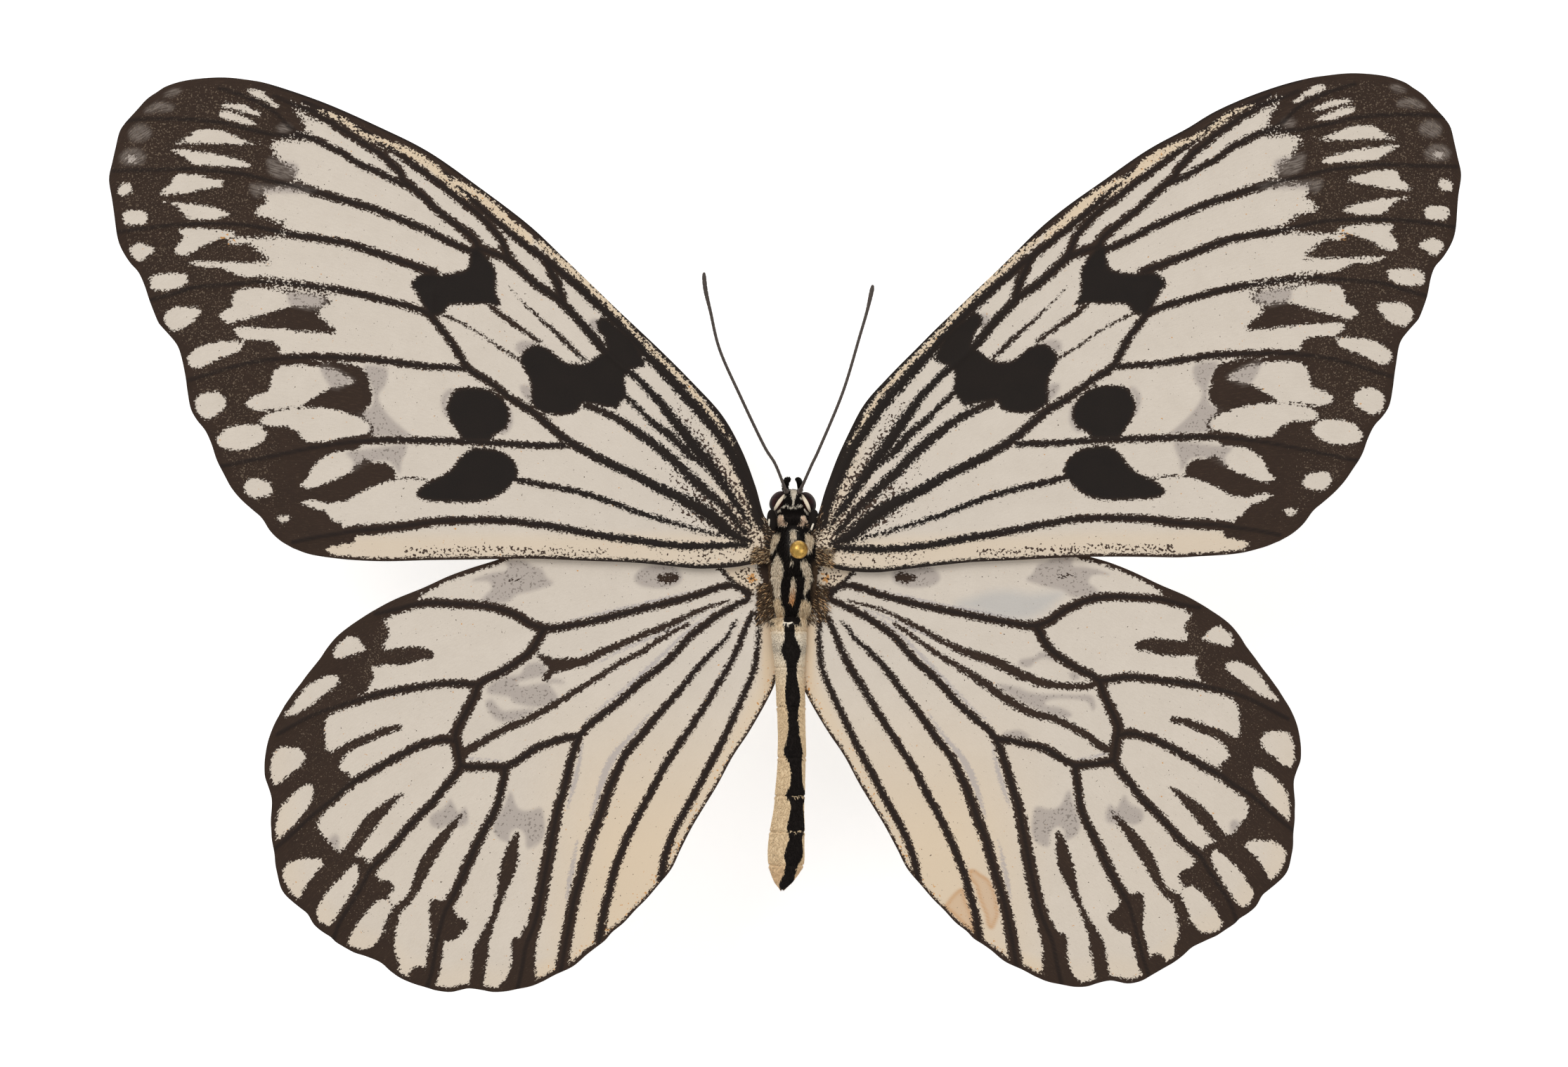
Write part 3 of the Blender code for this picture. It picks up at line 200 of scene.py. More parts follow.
FOREWING_LIGHTS = {
    "apex_buff": xy(
        52.3, 43.95, 51.4, 44.05, 50.6, 43.5, 49.9, 42.95, 49.2, 42.35, 50.1, 42.35, 51.2, 43, 52, 43.5),
    "apex_upper": xy(
        54.7, 42.7, 53.5, 42.7, 52.4, 42.4, 51.5, 41.95, 51, 41.6, 51.6, 41.55, 52.6, 41.85, 53.6, 42.15,
        54.6, 42.35),
    "apex_lower": xy(
        55.1, 41.9, 54.2, 41.95, 53.2, 41.5, 52.2, 41.15, 51.5, 40.8, 51.9, 40.6, 53, 40.7, 54, 41.1,
        54.9, 41.4),
    "first_above": xy(
        59.3, 38.9, 58.3, 39.35, 57.6, 39.8, 57, 40.15, 56, 40.15, 55, 40.1, 54, 39.75, 53, 39.35, 52.2, 39,
        51.3, 38.9, 52.5, 38.8, 54, 38.8, 56, 38.85, 57.5, 38.9),
    "first_below": xy(
        59.6, 38.25, 58.5, 38.25, 57, 38.05, 56, 37.9, 54.8, 37.7, 53.5, 37.4, 52.2, 36.95, 52.1, 36.65,
        53.5, 36.6, 55, 36.65, 56.5, 36.7, 57.5, 36.9, 58, 37.25, 58.7, 37.7),
    "second_above": xy(
        60.7, 34, 60.1, 34.6, 59.6, 35.1, 59.2, 35.8, 58.5, 35.9, 57, 35.75, 55.8, 35.45, 54.7, 35.2,
        54.7, 34.9, 56.5, 34.45, 58, 34.15, 59.3, 34),
    "second_below": xy(
        60.5, 33.2, 59, 33.15, 57.5, 33, 55.8, 32.75, 54.7, 32.45, 54.1, 31.95, 54.9, 31.7, 56.5, 31.55,
        57.6, 31.55, 58.2, 31.9, 58.7, 32.4, 59.4, 32.9),
    "third_above": xy(
        58.9, 30.4, 58.2, 30.65, 56, 30.65, 55, 30.55, 53.6, 30.3, 53.6, 29.9, 55.2, 29.65, 56, 29.3,
        57, 28.85, 57.7, 28.35, 58.5, 28.1, 59.2, 28.3, 59.3, 28.7, 58.9, 29.2, 58.6, 29.6, 58.5, 30),
    "third_below": xy(
        58.1, 27.45, 57.2, 27.55, 56, 27.5, 54.5, 27.45, 52, 27.4, 49.8, 27.4, 49.6, 26.2, 50.5, 26.1,
        52, 26.05, 53, 26.15, 54, 26.55, 55, 26.95, 56.5, 26.95, 57.3, 27.15),
    "fourth_above": xy(
        55.1, 22.3, 54.6, 22.8, 53.9, 23.2, 53.8, 24, 53.5, 24.6, 52.7, 24.9, 51, 25, 49.5, 24.9,
        48.5, 24.6, 46.6, 24.4, 45.2, 24, 45.4, 23.3, 46.8, 23.2, 47.9, 23.3, 49, 23, 50.5, 22.6,
        51.8, 22.2, 53.2, 21.9, 54, 21.6, 54.7, 21.9),
    "fourth_below": xy(
        53.6, 21.15, 52, 21.2, 50, 21.1, 48, 20.95, 46, 20.7, 44.6, 20.6, 45, 19.6, 48.2, 18.8, 48.9, 18.95,
        49.3, 19.3, 49.7, 19.7, 50.4, 19.95, 51.6, 20, 52.8, 20.1, 53.3, 20.5),
    "fifth_outer": xy(
        58.1, 18.3, 57.6, 18.8, 57.3, 19.2, 56.5, 19.5, 55.3, 19.75, 54.2, 19.85, 53, 19.8, 52.8, 19.4,
        53.2, 19, 54, 18.6, 55.2, 18.15, 56.2, 17.65, 57, 17.35, 57.8, 17.45),
    "fifth_above": xy(
        52.5, 13.9, 52, 14.4, 51.1, 14.8, 50.4, 15.1, 50.2, 15.8, 49.9, 16.7, 49.5, 17.25, 48.5, 17.55,
        46.8, 17.55, 45.3, 17.4, 43.8, 17, 42.9, 16.5, 42.2, 16.1, 43, 15.65, 44.2, 15.5, 45, 15.1,
        46, 14.5, 46.9, 13.9, 47.2, 13.6, 49.5, 13.45, 51, 13.2, 52, 13.4),
    "fifth_below": xy(
        51.2, 12, 50.7, 12.7, 50, 13.05, 48.8, 13.35, 47, 13.5, 45.5, 13.5, 44, 13.3, 42.5, 12.85,
        41.3, 12.4, 40.5, 11.7, 40.8, 11.1, 42, 10.8, 43.5, 10.6, 44.8, 10.3, 46, 10.2, 46.9, 10.35,
        47.3, 10.9, 47.9, 11.4, 48.9, 11.7, 50, 11.75),
    "sixth_above": xy(
        47.3, 6, 46.7, 6.6, 46.3, 7.4, 45.8, 8.1, 45, 8.8, 44, 9.2, 42, 9.4, 41, 9, 42.2, 7.7, 42.6, 7.3,
        43.3, 6.9, 44.5, 6.4, 45.5, 6, 46.5, 5.7),
    "sixth_below": xy(
        47.1, 4.3, 46.6, 4.65, 45.5, 4.5, 44.8, 4.3, 43.8, 4.3, 42.9, 4.5, 42, 3.5, 42.6, 2.7, 43.4, 2.5,
        44, 2.6, 44.5, 3, 45, 3.6, 45.6, 3.7, 46.3, 4),
    "tip_spot": xy(64.75, 34.5, 64.3, 34.95, 63.7, 34.95, 63.35, 34.4, 64, 33.85, 64.6, 33.95),
    "second_spot": xy(
        64.2, 32.1, 63.8, 32.35, 62.4, 32.35, 61.95, 32, 61.95, 31.3, 62.4, 31.05, 63.8, 31.05, 64.2, 31.4),
    "third_spot": xy(
        63.7, 28.55, 63.2, 29, 62.7, 29.3, 62, 29.05, 61.4, 28.9, 61.3, 28.55, 61.8, 28.1, 62.6, 27.65,
        63.2, 27.7, 63.4, 28.1),
    "fourth_spot": xy(
        61.6, 25.1, 61.7, 25.7, 61.2, 26.2, 60, 26.35, 59, 26.35, 58.1, 26.2, 58.1, 25.7, 58.5, 25.2,
        59.3, 24.9, 60.5, 24.75, 61.5, 24.85),
    "fifth_spot": xy(
        60.3, 22.2, 60.1, 22.7, 59.3, 23.1, 58.3, 23.2, 57.2, 23.1, 56.9, 22.8, 57.1, 22.3, 57.6, 21.8,
        58.3, 21.3, 59.2, 20.9, 59.8, 21, 60.2, 21.6),
    "sixth_spot": xy(
        57.35, 13.9, 57.1, 14.5, 56.5, 14.9, 55.4, 15, 54.6, 14.5, 54.4, 14, 54.7, 13.3, 55.3, 12.8,
        56.3, 12.4, 57, 12.9),
    "seventh_spot": xy(
        55.3, 10.3, 54.7, 11.2, 53.8, 11.7, 52.5, 11.85, 51.3, 11.8, 50.8, 11.3, 50.5, 10.8, 51.2, 10.1,
        52.2, 9.6, 53.5, 9.45, 54.7, 9.6),
    "eighth_spot": xy(
        52.7, 6, 52.2, 6.6, 51.3, 6.65, 50.3, 6.3, 49.9, 5.6, 50.3, 5.1, 51, 5, 51.6, 4.8, 52.4, 5.2),
    "tornus_spot": xy(49.5, 2.9, 49, 3.15, 48.4, 3.1, 48.3, 2.9, 48.9, 2.5, 49.3, 2.6),
    "pale_core": xy(63.9, 37.4, 63.5, 37.7, 63, 37.6, 62.9, 37.2, 63.4, 37.05, 63.8, 37.1),
}
# Buff streaks that show through the dark front edge: half widths, then the line
FOREWING_STREAKS = {
    "base": ((0.0, 0.08, 0.12, 0.14, 0.2, 0.22, 0.16), xy(
        5.6, 9.9, 6.2, 10.7, 6.8, 11.5, 7.3, 12.2, 8, 13, 8.7, 13.9, 9.4, 14.8, 10.1, 15.6, 11.6, 17.2,
        12.6, 18.1, 13.6, 19, 14.4, 19.9, 15, 20.5, 16, 21.6, 17, 22.7, 18, 23.7, 19, 24.6, 20, 25.6,
        21, 26.5, 22.3, 27.7, 23.6, 28.8, 24.2, 29.3)),
    "middle": ((0.15, 0.3, 0.36, 0.3, 0.2), xy(
        25.2, 29.5, 26, 30.3, 27, 31.15, 28, 32.05, 29, 32.95, 30, 33.75, 31, 34.45, 32.3, 35.2)),
    "outer": ((0.1, 0.2, 0.33, 0.33, 0.2, 0.06), xy(
        31.3, 33.6, 32.2, 34.4, 33, 35.1, 33.8, 35.9, 34.6, 36.7, 35.5, 37.3, 36.5, 37.85, 37.5, 38.35,
        38.6, 38.8, 39.9, 39.3, 41, 39.85)),
    "far": ((0.0, 0.15, 0.22, 0.16, 0.03), xy(
        40.2, 39, 41, 39.55, 41.8, 40.1, 42.6, 40.75, 43.4, 41.25, 44.3, 41.6, 45.6, 42)),
}
FOREWING_HAZES = {
    "cell_bar_upper": xy(26.6, 19, 26.5, 19.7, 25.9, 19.95, 25, 19.8, 25.1, 19.2, 25.9, 18.7),
    "cell_bar_front": xy(18.6, 20.9, 19.4, 21.1, 19.6, 21.8, 19, 22.1, 18.5, 21.7),
    "cell_bar_lower": xy(26.2, 15.6, 25.4, 15.6, 25, 14.4, 25.5, 14.2, 26.1, 15),
    "round_spot_outer": xy(33.8, 14.3, 33.5, 12.9, 33.1, 12.6, 33.2, 14.2, 32.6, 15.2, 33.2, 15.2),
    "round_spot_inner": xy(27.4, 13.7, 27, 13, 27, 11.8, 27.7, 11, 28.3, 11.2, 27.7, 12.2, 27.7, 13.3),
    "fourth_end": xy(48.4, 24.6, 46.9, 24.5, 45.3, 24.2, 44.7, 23.7, 45.6, 23, 47.6, 23.1, 48.4, 23.6),
    "fifth_end": xy(45.4, 17.5, 43.8, 17.2, 42.8, 16.6, 42, 16.1, 43, 15.6, 44.3, 15.4),
    "fifth_band": xy(
        41.2, 17.5, 39.1, 17.3, 39.1, 15.8, 39.8, 14.8, 39.6, 13.8, 38.5, 12.4, 37.1, 11.2, 36.6, 10.7,
        38.5, 10.7, 40.6, 10.9, 40.7, 12, 41.8, 12.8, 41, 13.3, 40.4, 13.8, 40.3, 14.8, 40.7, 16.2),
    "sixth_band": xy(
        42.9, 9.2, 41, 9.5, 39, 9.8, 37.2, 10, 37.2, 9.2, 37.6, 8.3, 37.8, 7.2, 38.6, 8.2, 39.6, 8.4, 41, 8,
        42.4, 7.4, 42.2, 8.3),
    "first_end": xy(
        50.4, 37.4, 49.2, 37.2, 48.3, 37.1, 47.6, 36.8, 47.5, 36.2, 47.9, 35.5, 49, 35.5, 50.2, 36),
    "second_end": xy(52.1, 34.9, 50, 34.8, 47.5, 34.9, 45.8, 34.3, 47.5, 34.1, 50.5, 34.1, 51.6, 33.8),
    "apex_dim": xy(62.2, 42, 61, 42.75, 59.8, 42.6, 59.4, 42.1, 60.6, 41.95, 61.8, 41.85),
    "edge_dim": xy(63.7, 40, 63, 40.6, 62, 40.5, 61.6, 39.7, 62.3, 39.15, 63.4, 39.2),
    "core_dim": xy(64.6, 37.6, 63.9, 38.2, 62.8, 38.2, 62.1, 37.5, 62.6, 36.9, 64.1, 36.9),
    "stalk_dim": xy(49.5, 40.4, 49, 40.75, 48.3, 40.6, 48.1, 40.2, 48.6, 39.95, 49.3, 40.05),
    "high_dim": xy(60.3, 43.6, 59.4, 44.05, 58.7, 43.95, 59.2, 43.5, 59.9, 43.4),
}

HINDWING_VEINS = {
    "subcosta": ((0.3, 0.36, 0.36, 0.36, 0.38, 0.5, 0.4, 0.42, 0.45), xy(
        4.1, -4.3, 5.75, -3.6, 7, -3.75, 8.5, -4.25, 10.3, -4.8, 12.1, -5.25, 13.9, -5.7, 15.75, -6.15,
        17.6, -6.6, 19.4, -7.05, 21.2, -7.4, 22.65, -7.65, 23.9, -7.7, 25.2, -7.3, 26.7, -6.4, 28.4, -5.8,
        30.1, -5.5, 33.5, -5.3, 35, -5.25, 36.35, -5.4, 38.7, -6, 40.2, -6.3)),
    "radius": ((0.5, 0.45, 0.4, 0.36, 0.38, 0.42, 0.5, 0.4), xy(
        23.9, -7.8, 24.3, -8.3, 25, -9.6, 26.2, -10.7, 27.9, -11.8, 29.8, -12.75, 30.3, -13.1, 32.6, -13,
        34.3, -13.1, 36, -13.35, 39.4, -13.95, 42.8, -14.9, 46.15, -16.05, 49.6, -17.9)),
    "cross_vein": ((0.5, 0.55, 0.6), xy(
        30.3, -13.1, 30.7, -14.35, 31.3, -15.5, 32, -16.7, 32.5, -17.9, 32.4, -18.6, 32, -20.95)),
    "first_median": ((0.5, 0.42, 0.4, 0.42, 0.45, 0.5, 0.4), xy(
        32.4, -18.6, 33.65, -18.4, 35.2, -18.75, 36.5, -19.25, 38, -20.05, 39.6, -20.95, 41.1, -21.8,
        42.8, -22.8, 44.1, -24, 45.6, -25.2, 47, -26.4, 49.8, -28.9)),
    "second_median": ((0.5, 0.42, 0.42, 0.45, 0.6, 0.5, 0.5), xy(
        32, -20.95, 32.6, -21.95, 33.5, -23, 34.8, -24.6, 36.3, -26.1, 37.6, -27.6, 38.85, -29.1,
        39.9, -30.1, 40.7, -31, 41.4, -32.4, 42.5, -34.2, 43.6, -36, 44.2, -37.6)),
    "disc": ((0.5, 0.4, 0.45), xy(32, -20.95, 30.95, -21.05, 29.3, -21.05, 27.7, -21.1)),
    "third_median": ((0.45, 0.4, 0.42, 0.5, 0.5, 0.6, 0.7, 0.7), xy(
        27.7, -21.1, 27.9, -22.4, 28.5, -24.8, 29.4, -26.6, 30.4, -28.4, 31.2, -30.2, 31.9, -31.8,
        32.7, -33.5, 33.5, -35, 34, -36.75, 34.4, -38.6, 34.7, -40.5, 35.2, -42.2)),
    "cubitus": ((0.3, 0.35, 0.36, 0.36, 0.36, 0.36, 0.36, 0.4, 0.4), xy(
        4.3, -4.9, 5.4, -5.4, 7, -6.3, 8.5, -7.4, 10.1, -8.7, 11.7, -10.5, 13, -11.6, 14.8, -13.05,
        16.65, -14.7, 18.5, -16.15, 19.9, -17.25, 20.5, -18, 22.1, -18.3, 23.55, -18.8, 24.85, -19.3,
        26.1, -20.2, 27.7, -21.1)),
    "second_cubital": ((0.4, 0.42, 0.45, 0.55, 0.6, 0.62, 0.65, 1.0, 1.2), xy(
        20.6, -18.2, 21.1, -19.5, 21.5, -20.9, 22, -23, 22.6, -25, 23.1, -27.4, 23.6, -29.95, 24.1, -32.5,
        24.5, -34.7, 25, -36.5, 25.7, -38.3, 26.1, -40.5, 26.5, -42.4)),
    "fold": ((0.1, 0.25, 0.3, 0.4, 0.4, 0.5, 0.5, 0.5, 0.55, 0.6), xy(
        5.5, -7.05, 6.5, -8.7, 7.9, -10.15, 9.4, -11.8, 10.65, -13.4, 12.1, -15.05, 13.7, -16.9,
        14.8, -18.3, 16.1, -19.8, 16.8, -21.2, 17.7, -23.2, 18.7, -26.1, 19.5, -28.1, 20, -29.95,
        20.6, -32.1, 21.1, -33.95, 21.8, -37.6, 22.4, -41)),
    "anal": ((0.25, 0.3, 0.32, 0.35, 0.36, 0.38, 0.4, 0.42), xy(
        3.9, -6.3, 4.65, -7.95, 5.4, -9.8, 6.3, -11.6, 7.4, -13.4, 8.5, -15.25, 9.7, -17.05, 11.2, -19.25,
        12.5, -21.25, 14.1, -24.3, 15, -25.95, 15.9, -27.8, 16.65, -29.6, 17.3, -31.4, 17.7, -33.2,
        18.2, -35, 18.7, -38)),
    "last_anal": ((0.2, 0.25, 0.3, 0.35, 0.35, 0.35, 0.35), xy(
        3.5, -6.3, 3.3, -8, 3.4, -9.4, 3.7, -11.6, 4.5, -13.6, 5.4, -15.6, 6.3, -17.6, 7.4, -19.8,
        8.5, -21.8, 9.7, -24.1, 10.65, -25.8, 11.4, -27.2, 11.9, -28.5, 12.4, -30, 12.7, -32)),
    "humeral": ((0.15, 0.2, 0.15), xy(7.1, -1.95, 6.6, -2.4, 5.95, -3.1, 5.15, -3.9, 4.3, -4.6)),
}
HINDWING_LINES = {
    "cell_upper": ((0.1, 0.25, 0.32, 0.33, 0.36, 0.45, 0.6), xy(
        6.1, -5.05, 7.55, -5.5, 9.4, -6.15, 11.2, -7.05, 13, -7.8, 14.8, -8.5, 16.65, -9.3, 18.5, -10.05,
        19.9, -10.8, 21.2, -11.1, 22.6, -11.1)),
    "cell_lower": ((0.45, 0.4, 0.36, 0.33, 0.3, 0.28, 0.2), xy(
        31.9, -19.9, 30.95, -19.25, 29.3, -18.3, 27.6, -17.35, 25.75, -16.6, 23.9, -15.6, 22.1, -14.5,
        20.3, -13.4, 18.5, -12.3, 16.65, -11.05, 14.8, -10.15, 13, -8.9, 11.2, -7.9, 10.1, -7.3)),
    "outer_margin": ((0.5, 0.5, 0.5, 0.42, 0.36, 0.38, 0.45, 0.5), HINDWING_EDGES["outer"]),
    "leading_margin": ((0.45, 0.5, 0.6, 0.65), HINDWING_EDGES["leading"][5:]),
    "inner_margin": ((0.3, 0.28, 0.27, 0.26, 0.26, 0.3, 0.45, 0.5), HINDWING_EDGES["inner"]),
    "first_bar": ((0.3, 0.42, 0.45, 0.6), xy(
        37.9, -17.25, 38.6, -17.4, 39.7, -17.75, 41, -18.3, 42.5, -19, 44, -19.9, 45.6, -20.6)),
    "upper_bar": ((0.45, 0.75, 0.85, 0.75, 0.8), xy(
        35, -10.25, 35.6, -10.15, 36.5, -10.2, 37.6, -10.4, 39, -10.45, 40.5, -10.6)),
    "second_bar": ((0.1, 0.5, 0.75, 0.65, 0.6, 0.6, 0.7), xy(
        37.5, -23.6, 38.2, -24.1, 39.4, -25.1, 40.6, -26.3, 41.5, -27.6, 42.6, -29.1, 43.9, -30.4,
        45.4, -31.5, 46.6, -33.4)),
    "third_bar": ((0.1, 0.4, 0.6, 0.65, 0.55, 0.35, 0.5, 0.6, 0.6, 0.7), xy(
        31.9, -25.6, 32.7, -26.7, 33.6, -27.7, 34.7, -29.3, 35.6, -30.9, 36.2, -32.4, 37, -33.8, 38, -34.7,
        38.5, -35.7, 38.9, -37.3, 39, -40.2)),
    "fourth_bar": ((0.25, 0.65, 0.8, 0.65, 0.45, 0.3, 0.32, 0.5, 0.75, 0.7, 0.7), xy(
        26.6, -27.6, 26.9, -28.6, 27.3, -30.4, 27.8, -32.2, 28.3, -33.9, 28.8, -35.4, 29.3, -36.7,
        29.9, -38.2, 30.2, -40, 30.5, -42)),
}
HINDWING_PATCHES = {
    "cell_end": xy(
        24.9, -10.1, 23.5, -10.4, 22.5, -10.7, 21, -10.7, 20, -10.6, 19.8, -11.2, 21, -11.6, 22.3, -11.9,
        23.2, -12.3, 23.8, -12.9, 24.2, -12.4, 23.6, -11.6, 24, -11.1),
    "second_blob": xy(
        41.4, -31.6, 39.7, -31.9, 38.6, -32.2, 38.5, -33.1, 39.2, -33.5, 40.3, -33.9, 41.9, -33.9),
    "third_blob": xy(
        34.8, -33.9, 33, -34.2, 32.3, -35.4, 31.5, -35.8, 31.3, -36.5, 32, -37.2, 33, -37.8, 34.7, -37.5,
        35, -35.5),
    "cubital_corner": xy(
        24.6, -36.3, 26.2, -37.3, 27.1, -37.9, 27.1, -39.8, 27.5, -41.2, 28.2, -42.6, 25, -42.6,
        24.8, -39.5),
    "foot_wedge": xy(36.8, -41.8, 37, -40.9, 36.1, -40.2, 35.4, -40.6, 34.4, -42.8),
}
HINDWING_BORDER = xy(
    36.6, -3.4, 35.8, -4.55, 36.6, -5.3, 38.4, -6.4, 39.1, -6.9, 39.35, -7.1, 38.9, -7.8, 38.9, -8.6,
    39.4, -9.2, 39.3, -9.8, 39.2, -11.1, 40.2, -11.25, 40.5, -11.6, 40.3, -12.2, 40.6, -12.9, 40.9, -13.6,
    42.5, -14.8, 43.6, -15.45, 44.4, -15.9, 45, -16.9, 45, -18, 44.9, -19.3, 44.5, -19.6, 43, -19.9,
    43.5, -20.5, 43.6, -21.3, 42.9, -21.5, 42.6, -21.9, 43, -23.2, 44.3, -24.6, 45.2, -25.5, 45.7, -26.5,
    45.6, -27.1, 45.1, -27.8, 44.3, -28.6, 43.9, -29.1, 43.3, -29.1, 42.6, -28.8, 42.2, -29.3, 42, -29.7,
    41.3, -29.7, 40.6, -30.6, 40, -31.6, 39, -32.6, 38.9, -33.5, 38.6, -34.4, 38.5, -35.5, 38.8, -37.3,
    38.9, -41.5, 52, -41.5, 52, -3)
HINDWING_LIGHTS = {
    "front_spot": xy(
        44.1, -9.8, 43.7, -9.2, 42.9, -8.6, 42.4, -8.5, 41.9, -8.7, 41.5, -9.2, 41, -9.65, 41.7, -10,
        42.8, -10.35, 43.9, -10.6, 44.2, -10.2),
    "upper_spot": xy(
        48.9, -16.2, 48.5, -15.3, 47.8, -14.6, 47.2, -13.8, 46.5, -13.1, 45.8, -12.7, 45, -12.35,
        44.2, -12.25, 43.7, -12.4, 43.7, -12.8, 44.2, -13.4, 45.2, -14.1, 46, -14.8, 47, -15.5, 48, -16),
    "first_spot": xy(
        50.25, -21.3, 50.1, -20.2, 49.7, -19.4, 49, -19.1, 47.9, -19.15, 47.2, -19.5, 46.95, -20,
        47.2, -20.7, 48, -21.4, 48.8, -22.1, 49.6, -22.65, 50, -22.6, 50.2, -22),
    "second_spot": xy(
        49.7, -27.3, 49.7, -26.2, 49.4, -25.2, 48.8, -24.4, 48, -23.6, 47.3, -23, 46.5, -22.7, 46.15, -23.1,
        46.2, -23.8, 46.5, -24.6, 47.2, -25.7, 47.9, -26.6, 48.6, -27.4, 49.4, -28.15, 49.6, -28),
    "third_spot": xy(
        49.05, -31.3, 48.9, -30.7, 48.3, -30.15, 47.3, -29.95, 46.3, -29.9, 45.3, -30, 45.15, -30.7,
        45.4, -31.4, 46, -32.3, 46.7, -33, 47.5, -33.65, 48.1, -33.3, 48.6, -32.6, 48.9, -32),
    "fourth_spot": xy(
        45.85, -34.8, 45.5, -34.2, 45, -33.4, 44.4, -32.6, 43.6, -31.8, 42.8, -31, 42.1, -30.4, 41.8, -30.9,
        41.9, -32.2, 42.3, -33.2, 43, -34.2, 43.7, -35.3, 44.3, -36, 44.9, -36.25, 45.5, -35.9,
        45.8, -35.4),
    "fifth_spot": xy(
        42.85, -37.9, 42.4, -37, 41.8, -36, 41, -35, 40.3, -34.2, 39.6, -33.8, 38.9, -33.8, 38.6, -34.3,
        38.75, -35.2, 39.05, -36.2, 39.6, -37.2, 40.2, -38, 40.8, -38.5, 41.8, -38.55, 42.5, -38.3),
}
# Lilac-grey bands beside the veins
HINDWING_SHADES = {
    "fold": ((0.05, 0.2, 0.35, 0.3, 0.1), xy(
        13.8, -15.9, 15.6, -18.1, 17.1, -19.8, 18, -21.4, 18.7, -23.4, 19.5, -26)),
    "second_cubital": ((0.05, 0.15, 0.25, 0.2, 0.05), xy(20.2, -18.6, 20.5, -20.2, 21, -22.4, 21.7, -25)),
    "low_fold": ((0.05, 0.2, 0.25, 0.1), xy(20.7, -28, 21.1, -30, 21.5, -32, 21.8, -34)),
    "cubitus": ((0.05, 0.15, 0.2, 0.15, 0.05), xy(
        7.5, -5.9, 10.4, -8.2, 13.4, -11.1, 17, -14.2, 20, -16.6)),
    "upper_cell": ((0.03, 0.12, 0.12, 0.03), xy(8, -6.1, 12, -7.9, 16, -9.6, 19.5, -11.4)),
    "subcosta": ((0.05, 0.15, 0.15, 0.05), xy(9, -4, 13, -5, 18, -6.2, 22, -7.1)),
    "disc": ((0.1, 0.15, 0.1), xy(28, -20.5, 30, -20.4, 31.5, -20.2)),
}
HINDWING_HAZES = {
    "front_near": xy(
        15.3, -2.9, 14.9, -2.2, 13.9, -1.75, 12, -1.6, 11, -2.1, 10.65, -2.8, 11.1, -3.5, 12.4, -3.85,
        13.9, -3.8, 14.9, -3.5),
    "front_far": xy(
        27.6, -1.2, 26, -1.2, 25, -1.7, 24.2, -2, 23.7, -2.8, 23.1, -3.4, 24, -3.8, 25.4, -4.2, 26.6, -4.5,
        27.6, -5.2, 30, -5.3, 29.6, -4.5, 29, -3.9, 29.4, -3.2, 30.9, -3.1, 29, -2.4, 27.5, -2.1),
    "cell_hook": xy(
        25.6, -11.2, 24.5, -11, 23.8, -11.4, 23.9, -12.2, 25, -12.5, 26.5, -12.9, 26.2, -13.3, 24, -13,
        22, -13, 22.8, -12.6, 23.6, -12.9, 22.6, -14.6, 24.5, -15.3, 26.8, -14.9, 27.4, -14.3, 29.4, -13.9,
        29, -13, 27.6, -12.4, 26.4, -12.2, 25.9, -11.6),
    "cell_low": xy(
        29.6, -15, 28.6, -16.5, 27, -16.7, 25.5, -16, 25, -15.5, 26.8, -15.6, 28, -15.6, 29, -14.6),
    "disc_low": xy(
        24.3, -25, 25.5, -25.3, 26.5, -25, 27.2, -23.5, 27.9, -25, 28.8, -26.6, 28.5, -27.8, 27.4, -28.3,
        27.2, -27.4, 26.5, -27, 25.8, -27.6, 25.6, -28.9, 24.4, -28.4, 23.9, -27.4, 24, -25.8),
    "median_neck": xy(
        34.8, -25.7, 33.6, -25, 33, -24.2, 32.6, -24.8, 32.2, -25.4, 31.5, -25, 31.3, -26.4, 32.2, -26.8,
        33, -26.6, 34, -27, 34.9, -26.6),
    "first_low": xy(44.8, -28.3, 44.2, -27.6, 43.7, -27.8, 43.7, -28.8, 43.6, -29.2),
}

# Only on the right hind wing: the far side of the cell, its hazes, a bluish tint and an old stain

RIGHT_CELL_LINES = {
    "cell_upper": ((0.1, 0.22, 0.3, 0.3, 0.42, 0.48, 0.42, 0.35, 0.35), xy(
        6.1, -5.05, 7.55, -5.5, 9.4, -6.15, 11.2, -7.05, 13, -7.95, 15, -9.05, 16.7, -9.9, 18.7, -10.6,
        20.2, -11.1, 21.7, -11.9, 23.2, -12.6, 24.7, -13.2, 26.7, -13.6, 29, -13.7, 30, -13.3)),
    "cell_lower": ((0.45, 0.4, 0.36, 0.38, 0.4, 0.32, 0.28, 0.2), xy(
        31.9, -19.9, 30.7, -19.6, 29.2, -18.4, 27.2, -17.3, 25.7, -16.5, 24.2, -16, 22.6, -15.1,
        21.1, -14.2, 19.6, -13.2, 18.1, -12.3, 16.6, -11.5, 15.1, -10.7, 13.5, -9.7, 11.5, -8.3,
        10.1, -7.4)),
}
